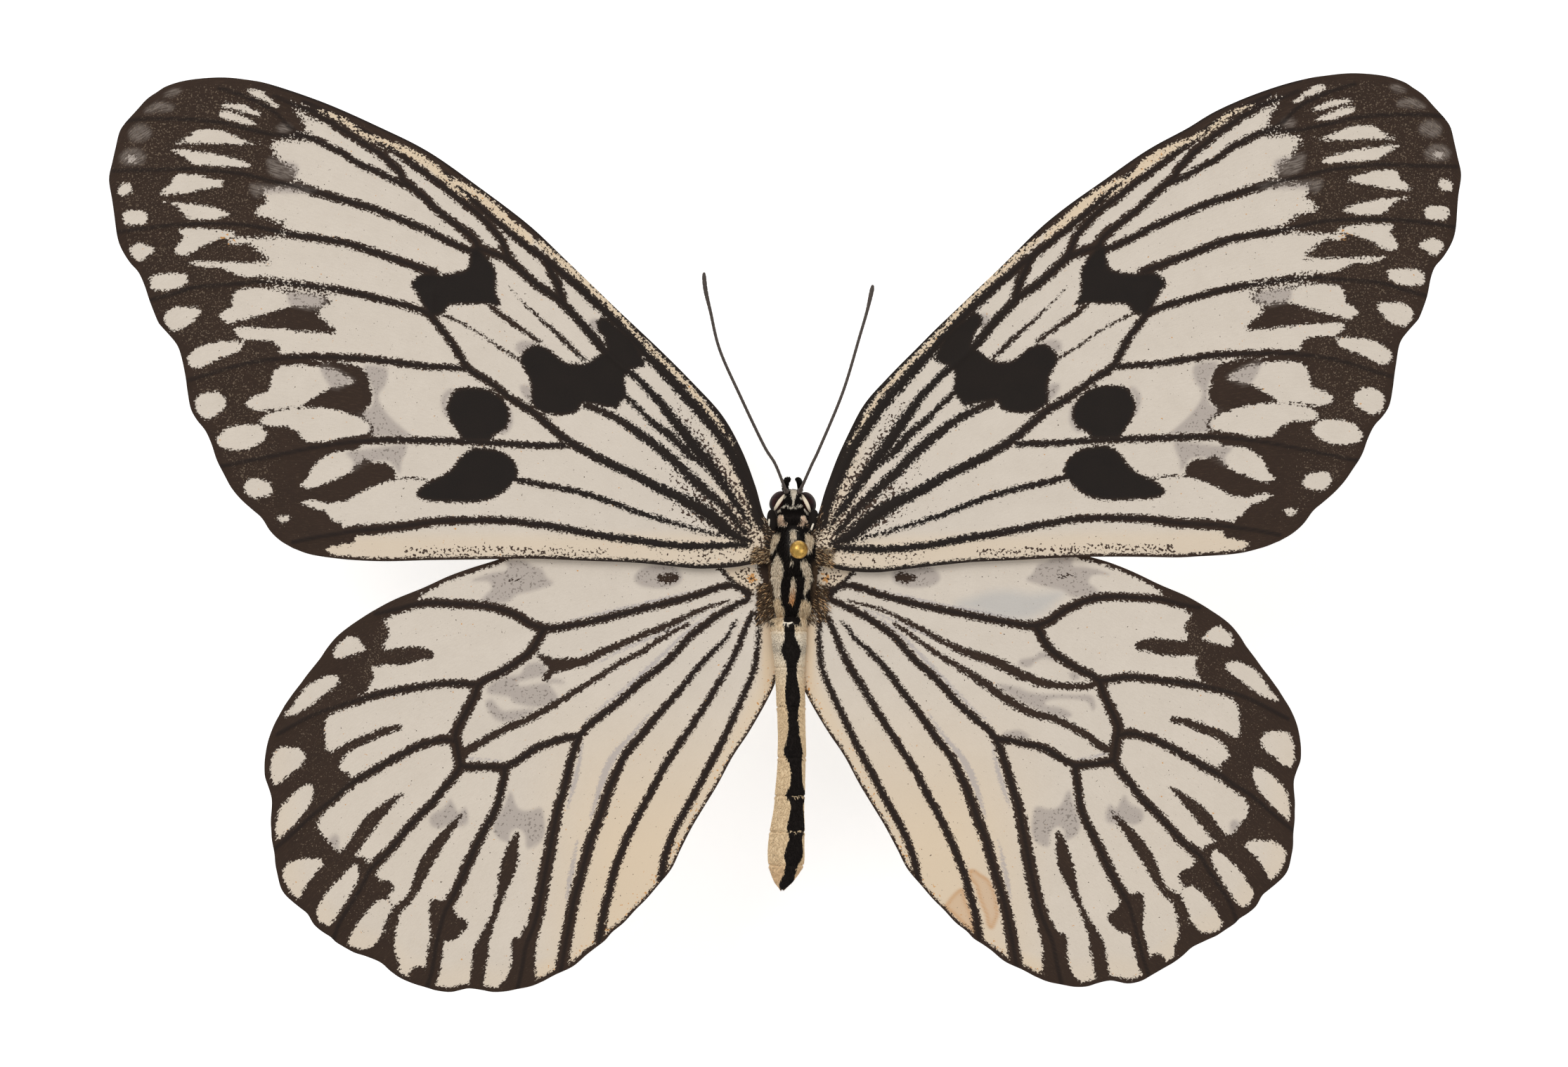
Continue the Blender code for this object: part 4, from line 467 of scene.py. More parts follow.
RIGHT_CELL_HAZES = {
    "cell_hook": xy(
        20.5, -13.1, 22.2, -13.4, 23.7, -14, 25.2, -14.3, 27.7, -14.5, 29.5, -14.6, 30, -15.7, 29.7, -16,
        29, -15.1, 26.7, -14.8, 25.3, -14.9, 25.2, -15.3, 26.7, -15.7, 27.7, -16.4, 26.7, -16.6, 25.2, -16,
        23.2, -15, 21.5, -13.9),
    "cell_low": xy(21.2, -17.6, 22.7, -17.3, 23.7, -18.1, 22.7, -18.2, 21.5, -18),
    "cell_front": xy(
        22.5, -11, 24, -10.7, 24.3, -10.3, 25.7, -10.4, 26.7, -11.1, 25.9, -11.2, 24.9, -10.9, 24, -11.2,
        23.5, -11.7, 22.5, -11.5),
    "cell_corner": xy(27.4, -12.4, 28.2, -12.4, 28.3, -13, 27.6, -13),
}
BLUISH_TINT = {
    "below_front": xy(
        15.8, -5.4, 17.5, -4.7, 19, -4.2, 21, -4.1, 23, -4.4, 25.5, -4.2, 26, -4.4, 25, -5.4, 24, -6.2,
        22.5, -6.8, 20.5, -6.8, 18.5, -6.3),
}
STAIN = {
    "outer_lobe": xy(
        16.9, -31, 17.5, -30.9, 18, -31.25, 18.7, -31.7, 19, -32, 19.6, -33.3, 19.9, -35.1, 19.7, -35.9,
        19.25, -36.8, 18.7, -36.4, 18.5, -35.4, 17.95, -34, 17.5, -32.5, 17, -31.9),
    "inner_lobe": xy(
        14.5, -34.6, 14.75, -34.2, 15.1, -33.7, 15.6, -33.15, 16.05, -32.8, 16.5, -32.8, 16.8, -34,
        17.2, -34.9, 17.5, -36.1, 17.9, -37.1, 16.8, -36.7, 15.96, -35.9, 15.1, -35.1),
}


def curve_through(points, step=0.35, closed=False):
    """A smooth line through points, with a row about every step.

    On each span it is the Catmull-Rom cubic: half of 2p1 + (p2 - p0)t + (2p0 - 5p1 + 4p2 - p3)t^2
    + (3p1 - p0 - 3p2 + p3)t^3, for t from 0 to 1.
    """
    points = np.asarray(points, float)
    if closed:
        padded = np.vstack([points[-1:], points, points[:2]])
    else:
        padded = np.vstack([2 * points[0] - points[1], points, 2 * points[-1] - points[-2]])
    p0, p1, p2, p3 = padded[:-3], padded[1:-2], padded[2:-1], padded[3:]
    counts = np.maximum(1, np.ceil(np.linalg.norm((p2 - p1)[:, :3], axis=1) / step)).astype(int)
    span = np.repeat(np.arange(len(p1)), counts)
    t = ((np.arange(len(span)) - np.repeat(np.cumsum(counts) - counts, counts)) / counts[span])[:, None]
    p0, p1, p2, p3 = p0[span], p1[span], p2[span], p3[span]
    rows = 0.5 * (2 * p1 + (p2 - p0) * t + (2 * p0 - 5 * p1 + 4 * p2 - p3) * t**2
                  + (3 * p1 - p0 - 3 * p2 + p3) * t**3)
    return np.vstack([rows, points[:1] if closed else points[-1:]])


def along(line, count):
    """count points at even distances along a line: each column read off against the length so far."""
    length = np.concatenate([[0], np.cumsum(np.linalg.norm(np.diff(line, axis=0)[:, :3], axis=1))])
    places = np.linspace(0, length[-1], count)
    return np.stack([np.interp(places, length, column) for column in line.T], axis=1)


def smooth_step(low, high, value):
    """0 below low and 1 above high, with 3t^2 - 2t^3 between."""
    t = np.clip((value - low) / (high - low), 0, 1)
    return t * t * (3 - 2 * t)


def bell(offset, width):
    """1 at no offset, falling off to both sides as exp(-(offset/width)^2)."""
    return np.exp(-(offset / width) ** 2)


def gap_to_line(points, line, half_widths=(0.0, 0.0), filled=False):
    """Distance of each point from a line less the line's half width there, at most REACH.

    The nearest place on a segment from a to b is a + t(b - a), t = (p - a).(b - a)/|b - a|^2 held to
    0..1. Inside a filled outline, where a ray along x crosses it an odd number of times, it is negative.
    """
    widths = np.interp(np.linspace(0, 1, len(line)), np.linspace(0, 1, len(half_widths)), half_widths)
    margin = REACH + max(half_widths)
    near = np.flatnonzero(((points > line.min(0) - margin) & (points < line.max(0) + margin)).all(axis=1))
    found = np.full(len(points), REACH)
    if not len(near):
        return found
    place = points[near]
    best = np.full(len(near), REACH)
    inside = np.zeros(len(near), bool)
    for a, b, wide_a, wide_b in zip(line[:-1], line[1:], widths[:-1], widths[1:]):
        step = b - a
        offset = place - a
        t = np.clip(offset @ step / max(step @ step, 1e-12), 0, 1)
        best = np.minimum(best, np.hypot(*(offset - t[:, None] * step).T) - wide_a - t * (wide_b - wide_a))
        if filled and a[1] != b[1]:
            crosses = (a[1] > place[:, 1]) != (b[1] > place[:, 1])
            inside ^= crosses & (offset[:, 0] < step[0] * offset[:, 1] / step[1])
    found[near] = np.where(inside, -best, best) if filled else best
    return found


def least_gap(points, lines):
    """The least distance to any of the named lines, less their half widths."""
    gaps = [gap_to_line(points, curve_through(line), widths) for widths, line in lines.values()]
    return np.minimum.reduce([np.full(len(points), REACH), *gaps])


def least_outline(points, outlines):
    """The least signed distance to any of the named outlines, negative inside."""
    gaps = [gap_to_line(points, curve_through(line, closed=True), filled=True)
            for line in outlines.values()]
    return np.minimum.reduce([np.full(len(points), REACH), *gaps])


# Meshes from arrays


def grid_quads(rows, columns, wrap=False):
    """Corner numbers of a grid's squares; wrap joins the last column to the first."""
    start = np.arange(rows - 1)[:, None] * columns
    here = np.arange(columns if wrap else columns - 1)[None, :]
    after = (here + 1) % columns
    corners = [start + here, start + after, start + columns + after, start + columns + here]
    return np.stack([c.ravel() for c in corners], axis=1)


def fan(ring, tip, flipped=False):
    """Triangles that close a ring of corner numbers with the point numbered tip."""
    after = np.roll(ring, -1)
    first, second = (after, ring) if flipped else (ring, after)
    return np.stack([first, second, np.full(len(ring), tip)], axis=1)


def seamed(grid):
    """A grid of rings with its first column again at its end."""
    return np.concatenate([grid, grid[:, :1]], axis=1)


def mesh_from_arrays(name, points, faces, layout=None):
    """A mesh of the points, in mm, and lists of faces.

    layout gives each point its place on the UV map. A face that crosses the map's seam, so that its
    corners lie more than half the map apart, has the near ones moved on by the whole width.
    """
    mesh = bpy.data.meshes.new(name)
    sizes = np.concatenate([np.full(len(f), f.shape[1]) for f in faces])
    corners = np.concatenate([f.ravel() for f in faces]).astype(np.int32)
    mesh.vertices.add(len(points))
    mesh.vertices.foreach_set("co", (np.asarray(points) * MM).astype(np.float32).ravel())
    mesh.loops.add(len(corners))
    mesh.loops.foreach_set("vertex_index", corners)
    mesh.polygons.add(len(sizes))
    mesh.polygons.foreach_set("loop_start", (np.cumsum(sizes) - sizes).astype(np.int32))
    mesh.update(calc_edges=True)
    mesh.polygons.foreach_set("use_smooth", np.ones(len(mesh.polygons), bool))
    if layout is not None:
        uv = mesh.uv_layers.new(name="OFBake")
        spots = [layout[f] for f in faces]
        for spot in spots:
            wide = np.ptp(spot[..., 0], axis=1, keepdims=True) > 0.5
            spot[..., 0] += LAYOUT_WIDTH * (wide & (spot[..., 0] < 0.4))
        flat = np.concatenate([s.reshape(-1, 2) for s in spots])
        uv.data.foreach_set("uv", flat.astype(np.float32).ravel())
    return mesh


def add_piece(name, mesh, material, replaced=(), marks=None):
    for mark, values in (marks or {}).items():
        layer = mesh.attributes.new(mark, "FLOAT", "POINT")
        layer.data.foreach_set("value", np.asarray(values).astype(np.float32))
    piece = bpy.data.objects.new(name, mesh)
    bpy.context.scene.collection.objects.link(piece)
    mesh.materials.append(material)
    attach(piece, "root")
    if replaced:
        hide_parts(*replaced)


def tube_surface(path, radii, sides, upright, flat=1.0):
    """A closed tube: at each place p of the path a ring p + r(cos a n + flat sin a b).

    n is the part of upright square to the path's direction, made a unit, and b the direction times n.
    One point closes each end. Returns points and faces.
    """
    ahead = np.gradient(path, axis=0)
    ahead /= np.linalg.norm(ahead, axis=1, keepdims=True)
    normal = np.asarray(upright, float) - (ahead @ np.asarray(upright, float))[:, None] * ahead
    normal /= np.linalg.norm(normal, axis=1, keepdims=True)
    across = np.cross(ahead, normal)
    angle = np.linspace(0, TAU, sides, endpoint=False)
    ring = (np.cos(angle)[None, :, None] * normal[:, None] + flat * np.sin(angle)[None, :, None]
            * across[:, None])
    points = path[:, None] + np.asarray(radii)[:, None, None] * ring
    count = len(path) * sides
    here = np.arange(sides)
    faces = [grid_quads(len(path), sides, wrap=True), fan(here, count, flipped=True),
             fan(count - sides + here, count + 1)]
    points = np.vstack([points.reshape(-1, 3), path[:1] - ahead[:1] * radii[0] * 0.4,
                        path[-1:] + ahead[-1:] * radii[-1] * 0.4])
    return points, faces


# Colours and node groups


def tone(red, green, blue):
    """A screen colour as the linear one that shaders take."""
    value = np.array([red, green, blue]) / 255
    linear = np.where(value <= 0.04045, value / 12.92, ((value + 0.055) / 1.055) ** 2.4)
    return (*linear.tolist(), 1.0)


def put(tree, socket, value):
    """Links value to the socket if it is a socket, and sets it there otherwise."""
    if isinstance(value, bpy.types.NodeSocket):
        tree.links.new(value, socket)
    elif value is not None:
        socket.default_value = value


def maths(tree, operation, *values):
    """A Math node; values are sockets or numbers."""
    node = tree.nodes.new("ShaderNodeMath")
    node.operation = operation
    for socket, value in zip(node.inputs, values):
        put(tree, socket, value)
    return node.outputs[0]


def times(tree, first, second):
    return maths(tree, "MULTIPLY", first, second)


def sway(tree, value, field, strength):
    """The value moved up and down by strength times the field's difference from a half."""
    return maths(tree, "MULTIPLY_ADD", maths(tree, "SUBTRACT", field, 0.5), strength, value)


def stretched(tree, place, factors):
    """A place with its three parts multiplied by the factors."""
    node = tree.nodes.new("ShaderNodeVectorMath")
    node.operation = "MULTIPLY"
    put(tree, node.inputs[0], place)
    node.inputs[1].default_value = factors
    return node.outputs[0]


def blend(tree, share, first, second):
    """The colour first, going to second as share goes from 0 to 1."""
    node = tree.nodes.new("ShaderNodeMix")
    node.data_type = "RGBA"
    put(tree, node.inputs["Factor"], share)
    put(tree, node.inputs["A"], first)
    put(tree, node.inputs["B"], second)
    return node.outputs["Result"]


def mottled(tree, share, first, second):
    """Two tones mixed by share."""
    return blend(tree, share, tone(*first), tone(*second))


def washed(tree, colour, washes):
    """A colour with washes laid over it in turn, each a share, its strength and its tone."""
    for share, strength, wash in washes:
        if strength < 1:
            share = times(tree, share, strength)
        colour = blend(tree, share, colour, tone(*wash))
    return colour


def ramp(tree, value, low, high, to_low=0.0, to_high=1.0):
    """A smooth step from to_low to to_high as value goes from low to high."""
    node = tree.nodes.new("ShaderNodeMapRange")
    node.interpolation_type = "SMOOTHSTEP"
    for socket, number in zip(("Value", "From Min", "From Max", "To Min", "To Max"),
                              (value, low, high, to_low, to_high)):
        put(tree, node.inputs[socket], number)
    return node.outputs["Result"]


def noise(tree, place, scale, detail=2.0, roughness=0.5):
    node = tree.nodes.new("ShaderNodeTexNoise")
    for socket, number in zip(("Vector", "Scale", "Detail", "Roughness"),
                              (place, scale, detail, roughness)):
        put(tree, node.inputs[socket], number)
    return node.outputs["Fac"]


def mark(tree, name):
    """A mark that the mesh carries as a value of each point."""
    node = tree.nodes.new("ShaderNodeAttribute")
    node.attribute_name = name
    return node.outputs["Fac"]


def new_group(name, inputs, outputs):
    """An empty node group; returns it, its ins and its end node. An input without a number is a vector."""
    group = bpy.data.node_groups.new(name, "ShaderNodeTree")
    for label, default in inputs.items():
        kind = "NodeSocketVector" if default is None else "NodeSocketFloat"
        socket = group.interface.new_socket(label, in_out="INPUT", socket_type=kind)
        if default is not None:
            socket.default_value = default
    for label in outputs:
        group.interface.new_socket(label, in_out="OUTPUT", socket_type="NodeSocketFloat")
    return group, group.nodes.new("NodeGroupInput").outputs, group.nodes.new("NodeGroupOutput").inputs


def use_group(tree, group, **values):
    node = tree.nodes.new("ShaderNodeGroup")
    node.node_tree = group
    for name, value in values.items():
        put(tree, node.inputs[name], value)
    return node.outputs


def make_ragged_edge():
    """Group: 1 inside a mark and 0 outside, from the signed distance to its edge with fine noise added."""
    group, ins, out = new_group("ragged_edge", {"Distance": 0.0, "Place": None, "Raggedness": 0.3,
                                                "Softness": 0.06, "Grain": 4500.0}, ["Mask"])
    fine = noise(group, ins["Place"], ins["Grain"], 2.0, 0.6)
    moved = sway(group, ins["Distance"], fine, ins["Raggedness"])
    inverse = times(group, ins["Softness"], -1.0)
    put(group, out["Mask"], ramp(group, moved, inverse, ins["Softness"], 1.0, 0.0))
    return group


def make_scale_grain():
    """Group: the fine rows of wing scales, as a value that varies round 0.5 and a height."""
    group, ins, out = new_group("scale_grain", {"Place": None, "Size": 9000.0}, ["Value", "Height"])
    grain = noise(group, ins["Place"], ins["Size"], 2.0, 0.7)
    broad = noise(group, ins["Place"], times(group, ins["Size"], 0.06))
    put(group, out["Value"], maths(group, "MULTIPLY_ADD", broad, 0.4, times(group, grain, 0.6)))
    put(group, out["Height"], grain)
    return group


def make_specks():
    """Group: scattered specks whose number follows Amount, from 0 for none to 1 for all."""
    group, ins, out = new_group("specks", {"Place": None, "Amount": 0.0, "Size": 5000.0}, ["Mask"])
    field = noise(group, ins["Place"], ins["Size"], 1.0)
    limit = maths(group, "MULTIPLY_ADD", ins["Amount"], -0.3, 0.78)
    put(group, out["Mask"], ramp(group, field, maths(group, "SUBTRACT", limit, 0.03),
                                 maths(group, "ADD", limit, 0.03)))
    return group


RAGGED_EDGE = make_ragged_edge()
SCALE_GRAIN = make_scale_grain()
SPECKS = make_specks()


def new_material(name, roughness, **settings):
    """A Principled material: itself, its tree, its shader's sockets and Object coordinates.

    settings go to the shader's sockets, with _ for a space.
    """
    material = bpy.data.materials.new(name)
    material.use_nodes = True
    tree = material.node_tree
    sockets = tree.nodes["Principled BSDF"].inputs
    sockets["Roughness"].default_value = roughness
    for label, value in settings.items():
        sockets[label.replace("_", " ")].default_value = value
    return material, tree, sockets, tree.nodes.new("ShaderNodeTexCoord").outputs["Object"]


def bump(tree, sockets, height, strength, distance):
    """Leads a height, in distances of metres, to the shader's normal."""
    node = tree.nodes.new("ShaderNodeBump")
    node.inputs["Strength"].default_value = strength
    node.inputs["Distance"].default_value = distance
    put(tree, node.inputs["Height"], height)
    put(tree, sockets["Normal"], node.outputs["Normal"])


def wing_material():
    """Cream membrane with grey haze and buff, under brown-black marks with ragged, scaly edges."""
    material, tree, sockets, place = new_material("scaled_membrane", 0.78, Specular_IOR_Level=0.25)
    grain = use_group(tree, SCALE_GRAIN, Place=place, Size=8000.0)
    value = grain["Value"]
    sheet = tree.nodes.new("ShaderNodeUVMap")
    sheet.uv_map = "OFBake"
    streak = noise(tree, stretched(tree, sheet.outputs["UV"], (80.0, 620.0, 1.0)), 1.0, 2.0, 0.6)

    def specks(amount, size):
        return use_group(tree, SPECKS, Place=place, Amount=amount, Size=size)["Mask"]

    haze = mark(tree, "haze")
    stripe = use_group(tree, RAGGED_EDGE, Distance=sway(tree, mark(tree, "shade"), streak, 0.5),
                       Place=place, Raggedness=0.7, Softness=0.12, Grain=5000.0)["Mask"]
    cream = washed(tree, mottled(tree, value, (200, 188, 173), (224, 213, 199)), [
        (ramp(tree, streak, 0.35, 0.75, 0.0, 0.22), 1, (192, 180, 166)),
        (mark(tree, "warmth"), 0.9, (221, 199, 169)),
        (specks(mark(tree, "orange"), 3500.0), 1, (205, 150, 90)),
        (mark(tree, "orange_stain"), 0.75, (196, 148, 100)),
        (mark(tree, "bluish"), 1, (172, 174, 175)),
        (haze, 0.8, (168, 157, 149)),
        (stripe, 0.62, (164, 157, 158)),
        (specks(times(tree, haze, 0.5), 4200.0), 0.7, (116, 106, 98)),
        (specks(mark(tree, "pepper"), 3900.0), 1, (66, 50, 40))])
    mist = times(tree, mark(tree, "mist"), ramp(tree, streak, 0.3, 0.7, 0.15, 0.75))
    brown = washed(tree, mottled(tree, value, (36, 24, 17), (60, 43, 31)), [
        (ramp(tree, streak, 0.5, 0.8, 0.0, 0.4), 1, (82, 63, 48)),
        (specks(mark(tree, "dust"), 6400.0), 0.45, (140, 122, 102)),
        (mist, 1, (140, 129, 120)),
        (ramp(tree, mark(tree, "vein"), 0.06, 0.34, 1.0, 0.0), 0.85, (29, 19, 14))])
    brown = blend(tree, mark(tree, "deep"), brown, mottled(tree, value, (16, 11, 8), (35, 26, 20)))
    raggedness = maths(tree, "MULTIPLY_ADD", mark(tree, "fuzz"), 1.9, 0.9)
    dark = use_group(tree, RAGGED_EDGE, Distance=sway(tree, mark(tree, "dark"), streak, 0.7),
                     Place=place, Raggedness=raggedness, Softness=0.05, Grain=4600.0)["Mask"]
    put(tree, sockets["Base Color"], blend(tree, dark, cream, brown))
    wrinkle = noise(tree, place, 900.0)
    bump(tree, sockets, maths(tree, "MULTIPLY_ADD", wrinkle, 0.5, grain["Height"]), 0.25, 0.00004)
    return material


WING_MATERIAL = wing_material()

# Wings

FOREWING = {
    "edges": FOREWING_EDGES, "veins": FOREWING_VEINS, "lines": FOREWING_LINES, "patches": FOREWING_PATCHES,
    "border": FOREWING_BORDER, "lights": FOREWING_LIGHTS, "streaks": FOREWING_STREAKS,
    "hazes": FOREWING_HAZES, "shades": {}, "middle": WING_Z + 0.55, "root_dip": 0.0,
    "deep": ("cross_veins", "cell_bar", "round_spot", "fold_spot"),
    "shifts": np.array([
        (2.9, 2.5, -.42, 0), (4.7, 8, -.28, .05), (4.2, -1, -.5, -.3), (6.5, -1.5, -.4, -.45),
        (12, -1.5, -.2, -.2), (10, 16.5, -.55, .45), (17, 22.5, -.65, .5), (25, 30.5, -.8, .4),
        (35, 38, -.7, .3), (45, 42.8, -1.2, .6), (55, 45.15, -1.1, .4), (60.7, 42.3, -1.5, .4),
        (65.6, 36, -1.5, .4), (62.4, 28.5, -1.25, .5), (60.5, 21.9, -.8, .4), (58, 15, -.5, .35),
        (53.5, 10.5, -.6, .5), (51.5, 5, -1.0, .7), (48, 0, -1.3, .7), (42, -1.1, -.7, .5),
        (35, -1.1, -.4, .3), (20, 0, 0, 0), (31, 25, -.9, .05), (24, 19.5, -.8, .1),
        (30.5, 13.3, -.3, .2), (33, 5, -.4, .2), (45, 18.3, -.4, .35), (50, 35, -1.3, .4)]),
}
HINDWING = {
    "edges": HINDWING_EDGES, "veins": HINDWING_VEINS, "lines": HINDWING_LINES, "patches": HINDWING_PATCHES,
    "border": HINDWING_BORDER, "lights": HINDWING_LIGHTS, "streaks": {}, "hazes": HINDWING_HAZES,
    "shades": HINDWING_SHADES, "middle": WING_Z - 0.3, "root_dip": 0.7, "deep": (),
    "shifts": np.array([
        (3.6, -3.6, -.8, 0), (10, -9, -.2, .1), (12, -2.9, -1.2, .05), (25, -2.8, -.6, .4),
        (34, -3.2, 0, .15), (31.5, -5.5, -.5, .9), (38.3, -4.9, -.5, .35), (41, -6.4, -1.1, .6),
        (23.9, -7.7, -.5, .25), (34.7, -10.3, -1.8, .9), (42.6, -9.6, -1.9, 1.2), (46.3, -14.3, -2.3, 1.6),
        (49, -20.8, -1.95, 1.5), (48.5, -25.4, -1.95, 1.9), (47.2, -32, -1.6, 1.8), (44, -36.5, -1.5, 1.8),
        (38, -40.5, -1.2, 1.6), (35, -37.5, -1.2, .6), (32.3, -41.5, -.6, .8), (27, -42, -.6, .4),
        (22.3, -40.7, -.8, .5), (15, -34.8, -.6, 0), (8.5, -23, -.8, 0), (3.5, -12.5, -.9, 0),
        (20.5, -18.1, -1.0, -.3), (20.5, -29, -.9, 0), (30.5, -28.4, -1.2, .2), (27.7, -21.1, -.45, .15),
        (30.3, -13.1, -.7, .35), (32.5, -19, -1.2, .6), (40, -24, -1.3, .6)]),
}
RIGHT_HINDWING = dict(
    HINDWING, lines={**HINDWING_LINES, **RIGHT_CELL_LINES}, hazes={**HINDWING_HAZES, **RIGHT_CELL_HAZES},
    patches={key: HINDWING_PATCHES[key] for key in HINDWING_PATCHES if key != "cell_end"})
# Pale patch with a black front at the root of the hindwing
HUMERAL_PATCH = xy(
    6.6, -2, 5, -1.7, 3.7, -1.8, 3.35, -2.35, 3.07, -3, 3.36, -3.7, 3.9, -4.5, 4.6, -4.15, 5.5, -3.4,
    6.2, -2.6, 6.6, -2)
COLUMNS = 301
ROWS = 161
TIP_RISE = 1.4
VEIN_SPREAD = 0.05
VEIN_RISE = 0.13
VEIN_KEEL = 0.07
HALF_SPAN = 65.6


def wing_places(edges):
    """The wing's plan as a Coons patch, ROWS by COLUMNS.

    With u from root to outer edge and v from inner to leading edge it is (1-v) inner(u) + v leading(u)
    + (1-u) root(v) + u outer(v), less the same blend of the four corners.
    """
    leading, inner = (along(curve_through(edges[side]), COLUMNS)[None] for side in ("leading", "inner"))
    root, outer = (along(curve_through(edges[side]), ROWS)[:, None] for side in ("root", "outer"))
    u = np.linspace(0, 1, COLUMNS)[None, :, None]
    v = np.linspace(0, 1, ROWS)[:, None, None]
    corners = ((1 - u) * (1 - v) * inner[:, :1] + u * (1 - v) * inner[:, -1:]
               + (1 - u) * v * leading[:, :1] + u * v * leading[:, -1:])
    return ((1 - v) * inner + v * leading + (1 - u) * root + u * outer - corners).reshape(-1, 2)


def shifted(places, shifts):
    """Places moved by the mean of the shifts round them, each weighing 1/(distance^2 + 9)^2."""
    offset = places[:, None] - shifts[None, :, :2]
    weights = 1 / ((offset**2).sum(axis=2) + 9.0) ** 2
    return places + weights @ shifts[:, 2:] / weights.sum(axis=1, keepdims=True)


def forewing_shares(marks, places, border, streaks, rim):
    """The forewing's own marks: dark root, peppered base, buff front edge and dusky tip."""
    x, y = places.T

    def gap(half_widths, *line):
        return gap_to_line(places, curve_through(xy(*line)), half_widths)

    base_lines = np.minimum.reduce([gap((0.6, 0.9), 15, 10.2, 10, 6, 6, 2.9, 4.5, 1.4),
                                    gap((0.3, 0.5), 17, 5.8, 12, 4.3, 8, 2.7),
                                    gap((0.2, 0.4), 11, 13.4, 8, 9.2, 6, 6.2, 4.3, 3)])
    margin = gap((0.2, 0.3), 18, -0.4, 25, -0.2, 30, -0.2, 37, -0.4)
    marks["dark"] = np.minimum.reduce([marks["dark"], x - 2.7, np.maximum(x - 3.75, y - 0.1)])
    marks["deep"] = np.maximum(marks["deep"], 0.85 * smooth_step(30, 12, x))
    marks["warmth"] = np.maximum.reduce([0.55 * smooth_step(2.2, 0.4, y), smooth_step(0.5, 0.0, streaks),
                                         0.7 * smooth_step(9, 4, x)])
    marks["pepper"] = np.maximum.reduce([0.95 * smooth_step(16, 7, x) * smooth_step(0.9, -0.2, base_lines),
                                         0.75 * smooth_step(0.5, -0.1, margin),
                                         0.85 * smooth_step(5.0, 3.2, x),
                                         0.5 * smooth_step(18, 9, x) * smooth_step(0.4, -0.2, y)])
    inner_border = smooth_step(1.6, 0.3, np.abs(border)) * smooth_step(54, 50, x) * smooth_step(19, 24, y)
    marks["fuzz"] = np.maximum.reduce([0.3 * smooth_step(16, 9, x) * smooth_step(0.0, 1.2, y),
                                       0.8 * inner_border, 0.25 * smooth_step(0.5, 0.0, streaks)])
    marks["mist"] = marks["haze"] * smooth_step(40, 44, x)
    marks["orange"] = (0.8 * smooth_step(1.4, 0.3, np.hypot(x - 54.3, y - 29.4))
                       + 0.2 * smooth_step(0.5, 0.0, streaks))
    marks["dust"] = 0.5 * smooth_step(46, 52, x) * smooth_step(0.4, 1.0, rim)


def hindwing_shares(marks, places, border, streaks, rim):
    """The hindwing's own marks: root patch, dots at the front edge, buff inner edge and dusted border."""
    x, y = places.T
    inner = gap_to_line(places, curve_through(HINDWING_EDGES["inner"]))
    humeral = gap_to_line(places, HUMERAL_PATCH, filled=True)
    near_dot = gap_to_line(places, xy(12.75, -2.9, 12.1, -2.95, 11.45, -2.85), (0.35, 0.5, 0.45))
    far_dot = gap_to_line(places, xy(27.7, -3, 26.9, -3.05, 26.2, -3.1), (0.0, 0.12, 0.05))
    low = smooth_step(-10, -31, y)
    marks["dark"] = np.minimum.reduce([
        marks["dark"], np.maximum.reduce([x - 3.45, -6.2 - y, 0.05 - humeral]), near_dot, far_dot])
    marks["warmth"] = np.maximum.reduce([
        0.8 * smooth_step(3.0, 0.6, inner), 0.9 * low * smooth_step(29, 16, x),
        0.35 * low * smooth_step(4.0, 1.0, rim), 0.75 * smooth_step(0.2, -0.2, humeral),
        0.95 * smooth_step(3.5, 2.6, x) * smooth_step(-6.4, -7.0, y)])
    marks["pepper"] = 0.72 * smooth_step(0.2, -0.3, humeral) * smooth_step(6.5, 5.0, x)
    marks["fuzz"] = np.maximum.reduce([0.4 * smooth_step(0.9, 0.3, np.hypot(x - 12.1, y + 2.9)),
                                       0.2 * smooth_step(4.5, 3, x),
                                       0.15 * smooth_step(1.2, 0.2, np.abs(border))])
    marks["mist"] = np.zeros(len(x))
    marks["orange"] = np.maximum(1.3 * smooth_step(0.75, 0.2, np.hypot(x - 3.95, y + 2.85)),
                                 0.4 * smooth_step(1.6, 0.5, inner) * smooth_step(-6.5, -7.5, y))
    front_border = gap_to_line(places, curve_through(xy(39, -7.2, 40.2, -9.8, 41, -12.6)), (0.3, 0.4))
    marks["dust"] = np.maximum(0.35 * smooth_step(1.2, 2.6, rim) * smooth_step(30, 36, x),
                               0.6 * smooth_step(0.8, 0.0, front_border))


